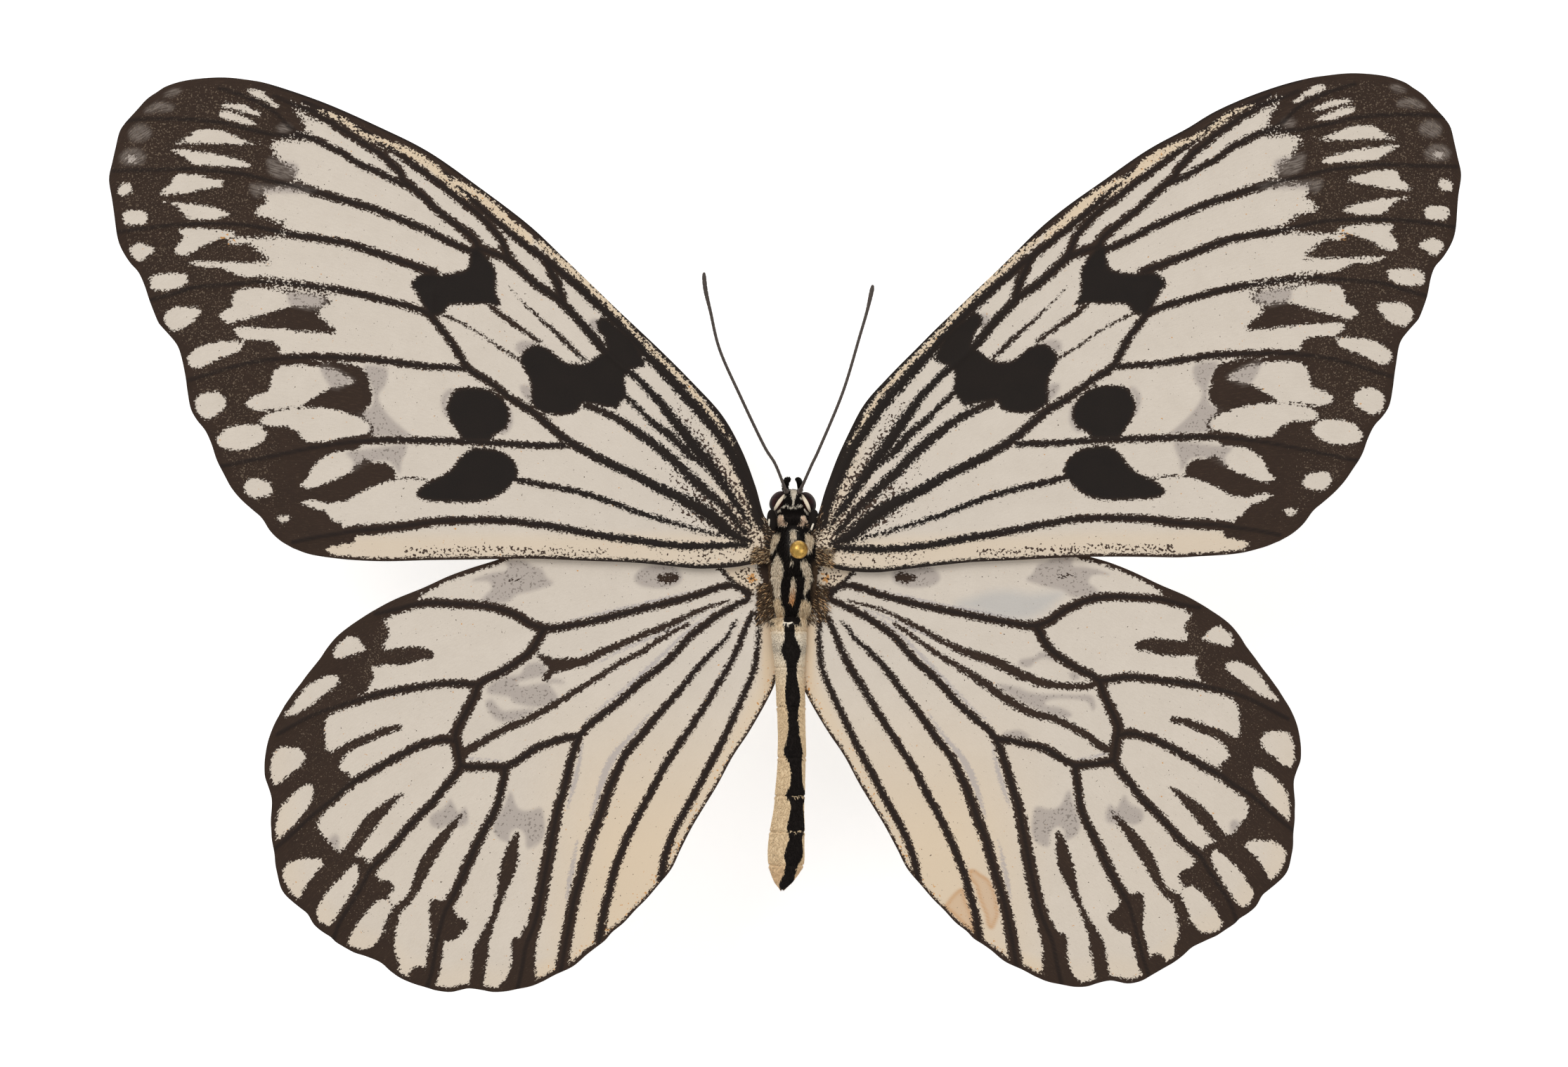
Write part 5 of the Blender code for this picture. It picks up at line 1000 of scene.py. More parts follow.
def wing_marks(places, wing, kind):
    """The marks of a wing at each place: signed distances in mm and shares from 0 to 1.

    Dark is the least of the distances to veins, lines, patches and the border outside its light fields,
    held out of the buff streaks.
    """
    around = np.vstack([wing["border"], wing["border"][:1]])
    border = gap_to_line(places, curve_through(around), filled=True)
    streaks = least_gap(places, wing["streaks"])
    dark = np.minimum.reduce([
        least_gap(places, wing["veins"]) - VEIN_SPREAD, least_gap(places, wing["lines"]),
        least_outline(places, wing["patches"]), np.maximum(border, -least_outline(places, wing["lights"]))])
    deepest = least_outline(places, {key: wing["patches"][key] for key in wing["deep"]})
    marks = {
        "dark": np.maximum(dark, -streaks),
        "deep": smooth_step(0.1, -0.4, deepest),
        "haze": smooth_step(0.25, -0.25, least_outline(places, wing["hazes"])),
        "shade": least_gap(places, wing["shades"]),
        "vein": least_gap(places, {key: ((0, 0), line) for key, (_, line) in wing["veins"].items()}),
    }
    edge = np.vstack([wing["edges"]["outer"], wing["edges"]["leading"][::-1]])
    rim = gap_to_line(places, curve_through(edge))
    shares = forewing_shares if kind == "forewing" else hindwing_shares
    shares(marks, places, border, streaks, rim)
    return marks


def wing_heights(places, wing, gap):
    """Heights of the wing's upper and under side, with the gap d to the nearest vein.

    The middle rises by TIP_RISE (x/HALF_SPAN)^1.5 and waves by a few hundredths; between veins the
    membrane sags by 0.14(1 - exp(-d/2.5)); each vein stands up by VEIN_RISE exp(-(d/0.34)^2) above and
    VEIN_KEEL times that bell below. The hindwing dips at its root. The sheet thins from 0.15 to 0.05
    at its rim.
    """
    x, y = places.T
    middle = wing["middle"] + TIP_RISE * (np.abs(x) / HALF_SPAN) ** 1.5
    middle = middle + 0.07 * np.sin(0.33 * x + 0.21 * y) + 0.05 * np.sin(0.52 * y - 0.17 * x + 1.3)
    middle = middle - 0.14 * (1 - np.exp(-gap / 2.5))
    middle = middle - wing["root_dip"] * smooth_step(3.5, 1.2, x) * smooth_step(-5.5, -8.0, y)
    edges = wing["edges"]
    outline = np.vstack([edges["leading"], edges["outer"][::-1], edges["inner"][::-1]])
    rim = gap_to_line(places, curve_through(outline))
    half = 0.025 + 0.05 * smooth_step(0.0, 0.5, rim)
    ridge = bell(gap, 0.34) * smooth_step(0.0, 0.6, rim)
    return middle + half + VEIN_RISE * ridge, middle - half - VEIN_KEEL * ridge


def stain_marks(places):
    """Shares of the old water stain near the tail of the right hind wing: a wash with a darker rim."""
    gap = least_outline(places, STAIN)
    return smooth_step(0.15, -0.15, gap) * (0.5 + 0.5 * bell(gap + 0.2, 0.18))


def add_wing(kind, side):
    """One wing: upper and lower grid joined by a rim, mirrored and shifted for its side."""
    wing = FOREWING if kind == "forewing" else RIGHT_HINDWING if side > 0 else HINDWING
    plan = wing_places(wing["edges"])
    marks = wing_marks(plan, wing, kind)
    placed = shifted(plan, wing["shifts"]) if side > 0 else plan
    upper, lower = (np.column_stack([side * placed[:, 0], placed[:, 1], heights])
                    for heights in wing_heights(plan, wing, marks["vein"]))
    count = ROWS * COLUMNS
    squares = grid_quads(ROWS, COLUMNS)
    number = np.arange(count).reshape(ROWS, COLUMNS)
    loop = np.concatenate([number[0, :-1], number[:-1, -1], number[-1, :0:-1], number[:0:-1, 0]])
    after = np.roll(loop, -1)
    rim = np.stack([loop + count, after + count, after, loop], axis=1)
    faces = [squares, squares[:, ::-1] + count, rim]
    if side < 0:
        faces = [f[:, ::-1] for f in faces]
    # The under side takes the lower half of the UV map and the upper side the upper half
    u = np.tile(np.linspace(0.004, 0.996, COLUMNS), ROWS)
    v = np.repeat(np.linspace(0.004, 0.492, ROWS), COLUMNS)
    layout = np.vstack([np.column_stack([u, v + 0.5]), np.column_stack([u, v])])
    name = f"{kind}_{'right' if side > 0 else 'left'}"
    mesh = mesh_from_arrays(name + "_mesh", np.vstack([upper, lower]), faces, layout)
    if wing is RIGHT_HINDWING:
        marks["orange_stain"] = stain_marks(placed)
        marks["bluish"] = 0.5 * smooth_step(0.8, -0.8, least_outline(placed, BLUISH_TINT))
    both = {key: np.tile(values, 2) for key, values in marks.items()}
    add_piece("scaled_" + name, mesh, WING_MATERIAL, [name], both)
    return np.swapaxes(upper.reshape(ROWS, COLUMNS, 3), 0, 1)[:, ::-side]


wing_grids = {(kind, side): add_wing(kind, side)
              for kind in ("forewing", "hindwing") for side in (-1, 1)}

# Body: rows of y, then x and z of the axis, half width, height above it and depth below it

BODY_SECTIONS = np.array([
    (5.68, 0, 29.3, .12, .15, .15), (5.5, 0, 29.3, .5, .62, .65), (5.2, 0, 29.3, .82, 1.0, 1.05),
    (4.7, 0, 29.3, 1.08, 1.3, 1.35), (4.2, 0, 29.3, 1.22, 1.33, 1.35), (3.8, 0, 29.3, 1.36, 1.15, 1.2),
    (3.5, 0, 29.3, 1.42, .98, 1.0), (3.28, 0, 29.3, 1.42, .95, .98), (3.05, 0, 29.3, 1.46, 1.2, 1.25),
    (2.75, 0, 29.3, 1.55, 1.38, 1.45), (2.45, 0, 29.3, 1.5, 1.35, 1.5), (2.2, 0, 29.3, 1.5, 1.45, 1.6),
    (1.7, 0, 29.3, 1.78, 2.1, 2.2), (.9, 0, 29.3, 2.05, 2.7, 2.8), (-.4, 0, 29.3, 2.2, 3.0, 3.1),
    (-2, 0, 29.3, 2.22, 2.95, 3.1), (-3.6, 0, 29.3, 2.12, 2.6, 2.8), (-4.9, 0, 29.3, 1.85, 2.05, 2.3),
    (-5.8, 0, 29.3, 1.62, 1.6, 1.8), (-6.25, -.05, 29.3, 1.45, 1.25, 1.35),
    (-6.6, -.1, 29.3, 1.35, 1.12, 1.15), (-7.3, -.4, 29.25, 1.66, 1.7, 1.7),
    (-9.1, -.35, 29.2, 1.64, 1.75, 1.75), (-11.5, -.3, 29.1, 1.4, 1.55, 1.55),
    (-16.6, -.14, 28.95, 1.3, 1.45, 1.45), (-20.1, -.1, 28.85, 1.3, 1.4, 1.4),
    (-25, -.36, 28.75, 1.42, 1.45, 1.45), (-28.4, -.62, 28.7, 1.7, 1.65, 1.65),
    (-30.6, -.66, 28.65, 1.62, 1.6, 1.6), (-32, -.86, 28.6, 1.0, 1.1, 1.1),
    (-32.9, -1, 28.55, .25, .3, .3)])
BODY_POWER = 2.25
BODY_ROWS = 700
BODY_SIDES = 96
PLATE_EDGES = np.array([-6.6, -7.9, -11.4, -15.2, -20.1, -23.8, -27.3, -30.5, -33.2])
# Pale marks on the back, with x to the insect's right
PALE_LINES = {
    "frons": ((0.3, 0.26, 0.1, 0.07, 0.07), xy(0.08, 5.6, 0.08, 5.3, 0.04, 4.9, 0.02, 4.5, 0.02, 4.1)),
    "crown": ((0.05, 0.13, 0.07, 0.05, 0.07, 0.13, 0.05), xy(
        -0.95, 4.05, -0.5, 4.2, -0.25, 3.98, 0.02, 4.1, 0.25, 3.98, 0.5, 4.15, 0.85, 4.2)),
    "left_dot": ((0.08, 0.08), xy(-0.68, 4.95, -0.73, 5.03)),
    "right_dot": ((0.08, 0.08), xy(0.73, 4.84, 0.78, 4.92)),
    "left_nape": ((0.14, 0.12), xy(-1.5, 3.6, -1.2, 3.8)),
    "right_nape": ((0.16, 0.22, 0.14), xy(1.15, 3.85, 1.4, 3.6, 1.5, 3.35)),
    "left_collar": ((0.28, 0.34, 0.22, 0.06), xy(-1.16, 3, -1.14, 2.58, -0.85, 2.42, -0.45, 2.35)),
    "right_collar": ((0.25, 0.33, 0.2, 0.05), xy(1, 2.95, 1.02, 2.56, 0.75, 2.38, 0.25, 2.33)),
    "middle_fleck": ((0.1, 0.13), xy(-0.09, -1, -0.09, -1.4)),
    "scutellum": ((0.15, 0.23, 0.28, 0.31, 0.2), xy(
        0.02, -2.8, 0.03, -3.4, -0.03, -4.1, -0.08, -4.7, -0.08, -5)),
    "left_tuft": ((0.3, 0.6, 0.62, 0.5, 0.4), xy(
        -1.45, -4.7, -1.45, -5.3, -1.35, -6, -1.3, -6.6, -1.35, -7.2)),
    "right_tuft": ((0.3, 0.6, 0.6, 0.5, 0.4), xy(1.15, -4.9, 1.2, -5.5, 1.2, -6.1, 1.2, -6.7, 1.25, -7.2)),
    "waist_arc": ((0.06, 0.1, 0.06), xy(-0.85, -7.14, -0.44, -7.24, -0.05, -7.12)),
    "middle": ((0.3, 0.32, 0.2, 0.12, 0.05), xy(0.03, 1.6, 0.03, 1.2, -0.06, 0.8, -0.2, 0.3, -0.25, -0.3)),
}
PALE_OUTLINES = {
    "left_band": xy(
        -1.5, -.33, -1.22, -.44, -.99, -1, -.9, -1.8, -.95, -2.7, -1.18, -3.5, -1.1, -4.16, -1.33, -4.5,
        -1.7, -4.6, -1.78, -3.5, -1.95, -2.7, -1.95, -1.57, -1.72, -.9),
    "left_shoulder": xy(
        -1.78, 1.59, -1.16, 1.5, -1.2, .97, -1.6, .24, -1.93, -.27, -2.17, .12, -2.25, .8, -2.05, 1.36),
    "right_shoulder": xy(1.07, 1.5, 1.75, 1.45, 1.82, .91, 1.7, .12, 1.43, -.33, 1.22, .24, 1.12, .8),
    "right_band": xy(
        .75, -.95, 1.26, -.95, 1.58, -1.57, 1.7, -2.24, 1.58, -3.25, 1.3, -4.04, 1.18, -4.6, 1.02, -3.8,
        1.1, -2.9, .85, -2, .68, -1.45),
}
SIDE_STREAKS = {
    "front": ((0.12, 0.22, 0.1), xy(-1, 1.6, -1.3, 0.9, -1.4, 0.2)),
    "middle": ((0.1, 0.24, 0.12), xy(-0.9, -0.6, -1.3, -1.2, -1.6, -1.8)),
    "rear": ((0.1, 0.22, 0.1), xy(-0.8, -2.6, -1.2, -3.3, -1.5, -4)),
    "low": ((0.1, 0.2, 0.14), xy(-2.5, 0.3, -2.7, -0.8, -2.7, -1.8)),
}
BACK_STRIPE = xy(
    -.67, -7.4, -.67, -8.5, -1, -9.6, -.8, -10.3, -.47, -11.1, -.54, -12.5, -.66, -14, -.35, -16.1,
    -.41, -18, -.78, -19.3, -.6, -20, -.25, -20.6, -.08, -21.9, -.2, -22.9, -.6, -23.7, -.12, -24.5,
    -.2, -25.7, -.5, -26.85, -.25, -27.85, -.75, -29.5, -.55, -30.3, -.72, -31.3, -1.1, -32.1, -1.2, -32.9,
    -.6, -32.9, .05, -32.1, .17, -31.3, .47, -30.3, .84, -29.5, .8, -27.85, 1.05, -26.85, .95, -25.7,
    .9, -24.5, 1.25, -23.7, .9, -22.9, .8, -21.9, .76, -20.6, .81, -20, .82, -19.3, .58, -18, .41, -16.1,
    .6, -14, .32, -12.5, .25, -11.1, .55, -10.3, .62, -9.6, .1, -8.5, .05, -7.4)


def body_grid():
    """The skin as rings from head to tail, each starting at the belly.

    A ring's point at angle a is axis + (w C, 0, h S), where C and S are cos a and sin a to the power
    2/BODY_POWER with their signs kept, w is the half width and h the height above or the depth below.
    Each plate of the abdomen widens by 0.05 to its rear edge, and dips by 0.07 at the joint. The
    thorax has a groove along its middle, one across it and a raised scutellum.
    """
    rows = along(curve_through(BODY_SECTIONS, 0.05), BODY_ROWS)
    y, axis_x, axis_z, wide, up, down = (column[:, None] for column in rows.T)
    angle = (np.linspace(0, TAU, BODY_SIDES, endpoint=False) - TAU / 4)[None]
    cosine, sine = (np.sign(wave) * np.abs(wave) ** (2 / BODY_POWER)
                    for wave in (np.cos(angle), np.sin(angle)))
    plate = np.interp(-y, -PLATE_EDGES, np.arange(len(PLATE_EDGES)))
    joint_gap = np.abs(y[:, None] - PLATE_EDGES[None, None, 1:]).min(axis=2)
    abdomen = smooth_step(-6.9, -7.4, y)
    swell = abdomen * (0.05 * (plate % 1) ** 2 - 0.07 * bell(joint_gap, 0.13))
    x = wide * cosine
    back = smooth_step(0.3, 0.9, sine)
    swell = swell - 0.13 * back * bell(x, 0.13) * smooth_step(-2.5, -2.2, y) * smooth_step(1.9, 1.4, y)
    swell = swell - 0.16 * back * bell(y + 2.55, 0.16)
    swell = swell + 0.16 * back * np.exp(-(x / 0.75) ** 2 - ((y + 3.9) / 0.95) ** 2)
    height = np.where(sine > 0, up, down)
    return np.stack([axis_x + (wide + swell) * cosine, y + 0 * cosine,
                     axis_z + (height + swell) * sine], axis=2)


def body_marks(points):
    """Shares of pale, warm, orange, grey and brown scales on the body, for skin and coat alike."""
    x, y, z = points.T
    places = points[:, :2]
    axis_x, axis_z = (np.interp(-y, -BODY_SECTIONS[:, 0], BODY_SECTIONS[:, k]) for k in (1, 2))
    back = smooth_step(-0.1, 0.5, z - axis_z)
    around = np.column_stack([2.2 * np.arctan2(z - axis_z, np.abs(x - axis_x)), y])
    wavy = y + 0.05 * np.sin(7 * x)

    def nearest(*names):
        return least_gap(places, {name: PALE_LINES[name] for name in names})

    def across(at, half_width, middle, outer, inner):
        return (smooth_step(half_width, 0.03, np.abs(wavy - at))
                * smooth_step(outer, inner, np.abs(x - middle)))

    dusting = np.exp(-(x / 0.4) ** 2 - ((y - 0.8) / 0.9) ** 2)
    scutellum = np.exp(-(x / 0.5) ** 2 - ((y + 4.8) / 1.0) ** 2)
    aside = np.abs(x)
    shoulder = back * smooth_step(0.7, 1.0, aside) * smooth_step(-0.4, 0.2, y) * smooth_step(2.2, 1.7, y)
    abdomen = smooth_step(-7.28, -7.4, y)
    fore = abdomen * bell(y + 9.6, 1.7)
    end = smooth_step(-29.5, -31.5, y)
    stripe = gap_to_line(places, curve_through(BACK_STRIPE, closed=True), filled=True)
    crack = across(-15.2, 0.09, -0.4, 0.95, 0.8)
    joins = np.maximum(across(-27.3, 0.09, 0.3, 0.8, 0.6), across(-23.9, 0.08, 0.5, 0.7, 0.5))
    marked = np.minimum(nearest(*PALE_LINES), least_outline(places, PALE_OUTLINES))
    pale = np.maximum(back * smooth_step(0.08, -0.08, marked),
                      smooth_step(0.08, -0.08, least_gap(around, SIDE_STREAKS)))
    buff = abdomen * (1 - 0.46 * fore - 0.3 * end) * (1 - back * smooth_step(0.17, 0.03, stripe))
    pale = np.maximum(pale * (1 - 0.42 * dusting), buff)
    pale = np.maximum(pale * (1 - 0.8 * crack * back), 0.75 * joins * back)
    collar = smooth_step(0.1, -0.1, nearest("left_collar", "right_collar"))
    tuft = smooth_step(0.1, -0.1, nearest("left_tuft", "right_tuft"))
    orange = np.maximum(back * np.maximum(0.4 * collar, scutellum), 0.2 * end)
    warm = np.maximum.reduce([
        abdomen * (0.25 + 0.7 * smooth_step(-9, -15, y) + 0.5 * smooth_step(-8.3, -7.6, y)),
        0.85 * back * tuft, 0.4 * smooth_step(-4.6, -4.2, y) * smooth_step(2.0, 1.6, y), 0.6 * shoulder])
    grey = np.maximum(0.5 * back * dusting, 0.5 * fore * smooth_step(0.1, 0.4, stripe))
    brown = smooth_step(1.5, 2.1, aside) * smooth_step(-0.6, -1.6, y) * smooth_step(-5.6, -4.6, y) * back
    return {"pale": pale, "warm": warm, "orange": orange, "grey": grey, "brown": brown}


def plain_marks(count, pale=0.0, warm=0.0, orange=0.0, grey=0.0, brown=0.0):
    """The body's marks for pieces that don't follow its places."""
    shares = {"pale": pale, "warm": warm, "orange": orange, "grey": grey, "brown": brown}
    return {key: np.zeros(count) + share for key, share in shares.items()}


def scatter(grid, weight, count, random):
    """Roots spread over a grid surface, each square's share being its area times its weight.

    A root is the mean of its square's corners at s across and t along; the normal is the cross product
    of the square's diagonals and the lie is its side along the rows.
    """
    a, b, c, d = (corner.reshape(-1, 3)
                  for corner in (grid[:-1, :-1], grid[:-1, 1:], grid[1:, 1:], grid[1:, :-1]))
    normal = np.cross(c - a, d - b)
    area = np.linalg.norm(normal, axis=1)
    chance = area * np.broadcast_to(weight, grid[:-1, :-1, 0].shape).ravel()
    pick = random.choice(len(chance), count, p=chance / chance.sum())
    s, t = random.random((2, count, 1))
    roots = (1 - t) * ((1 - s) * a[pick] + s * b[pick]) + t * ((1 - s) * d[pick] + s * c[pick])
    columns = grid.shape[1] - 1
    layout = np.hstack([(pick[:, None] % columns + s) / columns,
                        (pick[:, None] // columns + t) / (len(grid) - 1)])
    return roots, normal[pick] / area[pick, None], d[pick] - a[pick], layout


# A spike's points, its faces and its patch on the UV map
SPIKE_POINTS = 7
SPIKE_FACES = [np.array([[2, 1, 0], [3, 4, 6], [4, 5, 6], [5, 3, 6]]),
               np.array([[0, 1, 4, 3], [1, 2, 5, 4], [2, 0, 3, 5]])]
SPIKE_PATCH = 0.003 * np.array([(0, 0), (1, 0), (.5, 1), (.2, .2), (.8, .2), (.5, .8), (.5, .5)])


def spikes(roots, normals, lies, lengths, radii, lift, flat=0.5):
    """Closed three-sided spikes of seven points, as wide at the middle as at the root.

    With n the normal, l the lie square to n and s = n x l, a spike runs from root - 0.06n through
    root + 0.5L(cos(lift) l + sin(lift) n) to the tip at L with half the lift. Its corners stand
    r(cos a s + flat sin a n) off, at thirds of a turn.
    """
    lies = lies - (lies * normals).sum(axis=1, keepdims=True) * normals
    lies = lies / np.linalg.norm(lies, axis=1, keepdims=True)
    across = np.cross(normals, lies)
    lengths, radii, lift = (np.broadcast_to(v, len(roots))[:, None] for v in (lengths, radii, lift))
    middle = roots + 0.5 * lengths * (np.cos(lift) * lies + np.sin(lift) * normals)
    tip = roots + lengths * (np.cos(lift / 2) * lies + np.sin(lift / 2) * normals)
    turn = (np.arange(3) / 3 + 0.25) * TAU
    corner = (np.cos(turn)[None, :, None] * across[:, None]
              + flat * np.sin(turn)[None, :, None] * normals[:, None]) * radii[:, None]
    points = np.concatenate([(roots - 0.06 * normals)[:, None] + 0.8 * corner, middle[:, None] + corner,
                             tip[:, None]], axis=1)
    first = SPIKE_POINTS * np.arange(len(roots))[:, None, None]
    faces = [(pattern[None] + first).reshape(-1, pattern.shape[1]) for pattern in SPIKE_FACES]
    return points.reshape(-1, 3), faces


# Keeps a weight above nought everywhere
TRACE = 1e-9


def square_middles(grid):
    """Distance from the middle plane, and y, at the middle of each of a grid's squares."""
    middle = 0.5 * (grid[:-1, :-1] + grid[1:, 1:])
    return np.abs(middle[:, :, 0]), middle[:, :, 1]


def add_coat(name, material, patches):
    """One mesh of spikes from patches of (roots, normals, lies, lengths, radii, lift, layout, marks)."""
    *shapes, layout = (np.concatenate(part) for part in zip(*(patch[:-1] for patch in patches)))
    points, faces = spikes(*shapes)
    places = LAYOUT_EDGE + LAYOUT_WIDTH * layout[:, None] + SPIKE_PATCH[None]
    marks = {key: np.repeat(np.concatenate([patch[-1][key] for patch in patches]), SPIKE_POINTS)
             for key in patches[0][-1]}
    mesh = mesh_from_arrays(name + "_mesh", points, faces, places.reshape(-1, 2))
    add_piece(name, mesh, material, marks=marks)


def coat_patch(grid, weight, count, length, radius, lift, random, marks_at, lean=(0, 0, 0)):
    """count spikes on a grid, a quarter longer or shorter than length and leaning a little to each side."""
    roots, normals, lies, layout = scatter(grid, weight, count, random)
    lies = lies / np.linalg.norm(lies, axis=1, keepdims=True) + random.normal(0, 0.22, (count, 3)) + lean
    lengths = length * (0.75 + 0.5 * random.random(count))
    radii = radius * (0.8 + 0.4 * random.random(count))
    lifts = lift * (0.6 + 0.8 * random.random(count))
    return roots, normals, lies, lengths, radii, lifts, layout, marks_at(roots)


def fur_material():
    """Black scales and hair with cream, buff, orange, grey and brown ones by the body's marks."""
    material, tree, sockets, place = new_material("scales_and_hair", 0.85, Specular_IOR_Level=0.15)
    grain = use_group(tree, SCALE_GRAIN, Place=place, Size=14000.0)
    value = grain["Value"]
    black = washed(tree, mottled(tree, value, (9, 7, 6), (34, 27, 23)), [
        (mark(tree, "brown"), 0.85, (104, 82, 62)), (mark(tree, "grey"), 1, (150, 143, 136))])
    pale = washed(tree, mottled(tree, value, (224, 211, 188), (252, 243, 227)), [
        (mark(tree, "warm"), 0.95, (222, 194, 153)), (mark(tree, "orange"), 1, (222, 156, 92))])
    ragged = sway(tree, mark(tree, "pale"), noise(tree, place, 9000.0, 2.0, 0.6), 0.7)
    put(tree, sockets["Base Color"], blend(tree, ramp(tree, ragged, 0.32, 0.68), black, pale))
    bump(tree, sockets, grain["Height"], 0.35, 0.00004)
    return material


def cuticle_material():
    """Dark brown hard skin of legs, feelers and tongue, with a bloom of paler scales."""
    material, tree, sockets, place = new_material("dark_cuticle", 0.5, Specular_IOR_Level=0.4)
    grain = use_group(tree, SCALE_GRAIN, Place=place, Size=12000.0)
    bloom = use_group(tree, SPECKS, Place=place, Amount=0.35, Size=9000.0)["Mask"]
    put(tree, sockets["Base Color"], washed(tree, mottled(tree, grain["Value"], (36, 29, 26), (80, 68, 60)),
                                            [(bloom, 0.5, (120, 106, 92))]))
    put(tree, sockets["Roughness"], ramp(tree, grain["Height"], 0.3, 0.7, 0.42, 0.66))
    bump(tree, sockets, grain["Height"], 0.3, 0.00003)
    return material


def eye_material():
    """Maroon compound eye: rows of facets as a fine bump, with darker clouds."""
    material, tree, sockets, place = new_material("faceted_eye", 0.5, Specular_IOR_Level=0.1)
    clouds = ramp(tree, noise(tree, place, 1600.0), 0.35, 0.65)
    put(tree, sockets["Base Color"], mottled(tree, clouds, (20, 9, 9), (46, 21, 20)))
    facets = tree.nodes.new("ShaderNodeTexVoronoi")
    facets.inputs["Scale"].default_value = 18000.0
    put(tree, facets.inputs["Vector"], place)
    bump(tree, sockets, maths(tree, "SUBTRACT", 1.0, facets.outputs["Distance"]), 0.5, 0.00002)
    return material


def brass_material():
    """Brass wire and ball, a little dulled in patches."""
    material, tree, sockets, place = new_material("brass", 0.38, Metallic=1.0)
    dull = noise(tree, place, 2600.0, 3.0, 0.6)
    share = ramp(tree, dull, 0.4, 0.7)
    put(tree, sockets["Base Color"], mottled(tree, share, (206, 166, 88), (150, 112, 56)))
    put(tree, sockets["Roughness"], ramp(tree, dull, 0.35, 0.7, 0.32, 0.5))
    bump(tree, sockets, noise(tree, place, 12000.0), 0.08, 0.00002)
    return material


def base_material():
    """Matt off-white paint over wood, with a faint lie of grain along the base and soft wear."""
    material, tree, sockets, place = new_material("painted_wood", 0.62)
    lie = noise(tree, stretched(tree, place, (60.0, 900.0, 900.0)), 1.0, 3.0, 0.6)
    cloud = noise(tree, place, 90.0, 3.0, 0.55)
    paint = mottled(tree, ramp(tree, lie, 0.3, 0.7), (226, 223, 216), (236, 234, 228))
    wear = ramp(tree, cloud, 0.5, 0.8, 0.0, 0.35)
    put(tree, sockets["Base Color"], washed(tree, paint, [(wear, 1, (214, 209, 199))]))
    put(tree, sockets["Roughness"], ramp(tree, cloud, 0.3, 0.7, 0.55, 0.72))
    bump(tree, sockets, maths(tree, "MULTIPLY_ADD", noise(tree, place, 2500.0), 0.4, lie), 0.12, 0.0001)
    return material


FUR = fur_material()
CUTICLE = cuticle_material()
EYE_GLAZE = eye_material()
BRASS = brass_material()


def add_body():
    """The skin of head, thorax and abdomen in one closed piece; returns its grid with the seam doubled."""
    grid = body_grid()
    count = BODY_ROWS * BODY_SIDES
    here = np.arange(BODY_SIDES)
    faces = [grid_quads(BODY_ROWS, BODY_SIDES, wrap=True), fan(here, count, flipped=True),
             fan(count - BODY_SIDES + here, count + 1)]
    points = np.vstack([grid.reshape(-1, 3), grid[0].mean(axis=0) + (0, 0.06, 0),
                        grid[-1].mean(axis=0) - (0, 0.12, 0)])
    u = np.tile(here / BODY_SIDES, BODY_ROWS)
    v = np.repeat(np.linspace(0, 1, BODY_ROWS), BODY_SIDES)
    layout = LAYOUT_EDGE + LAYOUT_WIDTH * np.vstack([np.column_stack([u, v]), [[0.5, 0], [0.5, 1]]])
    mesh = mesh_from_arrays("body_skin_mesh", points, faces, layout)
    covered = ["head", "prothorax", "thorax", "abdomen"]
    add_piece("body_skin", mesh, FUR, covered, body_marks(points))
    return seamed(grid)


def ovoid(centre, axis, half_length, radius, flat, upright, rings=40, sides=48):
    """A closed egg along axis: rings of radius sin(t) at -half_length cos(t), t over half a turn."""
    t = np.linspace(0.04, np.pi - 0.04, rings)
    axis = np.asarray(axis, float) / np.linalg.norm(axis)
    path = np.asarray(centre, float) - half_length * np.cos(t)[:, None] * axis
    return tube_surface(path, radius * np.sin(t), sides, upright, flat)


def join_parts(parts):
    """Points and faces of several closed parts as one mesh's."""
    starts = np.cumsum([0] + [len(points) for points, _ in parts])
    return (np.vstack([points for points, _ in parts]),
            [f + start for (_, faces), start in zip(parts, starts) for f in faces])


def mirrored(part):
    """A part's points with x turned round, and its faces turned to point outwards again."""
    points, faces = part
    return points * (-1, 1, 1), [f[:, ::-1] for f in faces]


EYES = {"eye_left": (-1, (-1.4, 4.54, 29.3), (0.572, 0.82, 0)),
        "eye_right": (1, (1.42, 4.42, 29.3), (-0.45, 0.893, 0))}
EYE_RIM_ROWS = 48


def add_eyes():
    """Eyes as eggs set across the head, each with a rim of pale scales along its inner border."""
    for name, (side, centre, toe) in EYES.items():
        part = ovoid(centre, toe, 1.06, 1.24, 0.62, (0, 0, 1))
        add_piece("faceted_" + name, mesh_from_arrays(name + "_mesh", *part), EYE_GLAZE, [name])
        turn = np.linspace(-0.35, np.pi + 0.35, EYE_RIM_ROWS)[:, None]
        inward = np.array([-side * toe[1], side * toe[0], 0]) * 0.1
        rim = (np.array(centre) + inward + 0.92 * np.cos(turn) * np.array(toe)
               + 1.16 * np.sin(turn) * np.array([0, 0, 1.0]))
        width = np.interp(np.linspace(0, 1, EYE_RIM_ROWS), (0, 0.2, 0.8, 1), (0.08, 0.2, 0.2, 0.08))
        points, faces = tube_surface(rim, width, 10, (side * toe[1], -side * toe[0], 0), 0.6)
        add_piece(name + "_rim", mesh_from_arrays(name + "_rim_mesh", points, faces), FUR,
                  marks=plain_marks(len(points), pale=1.0, warm=0.3))


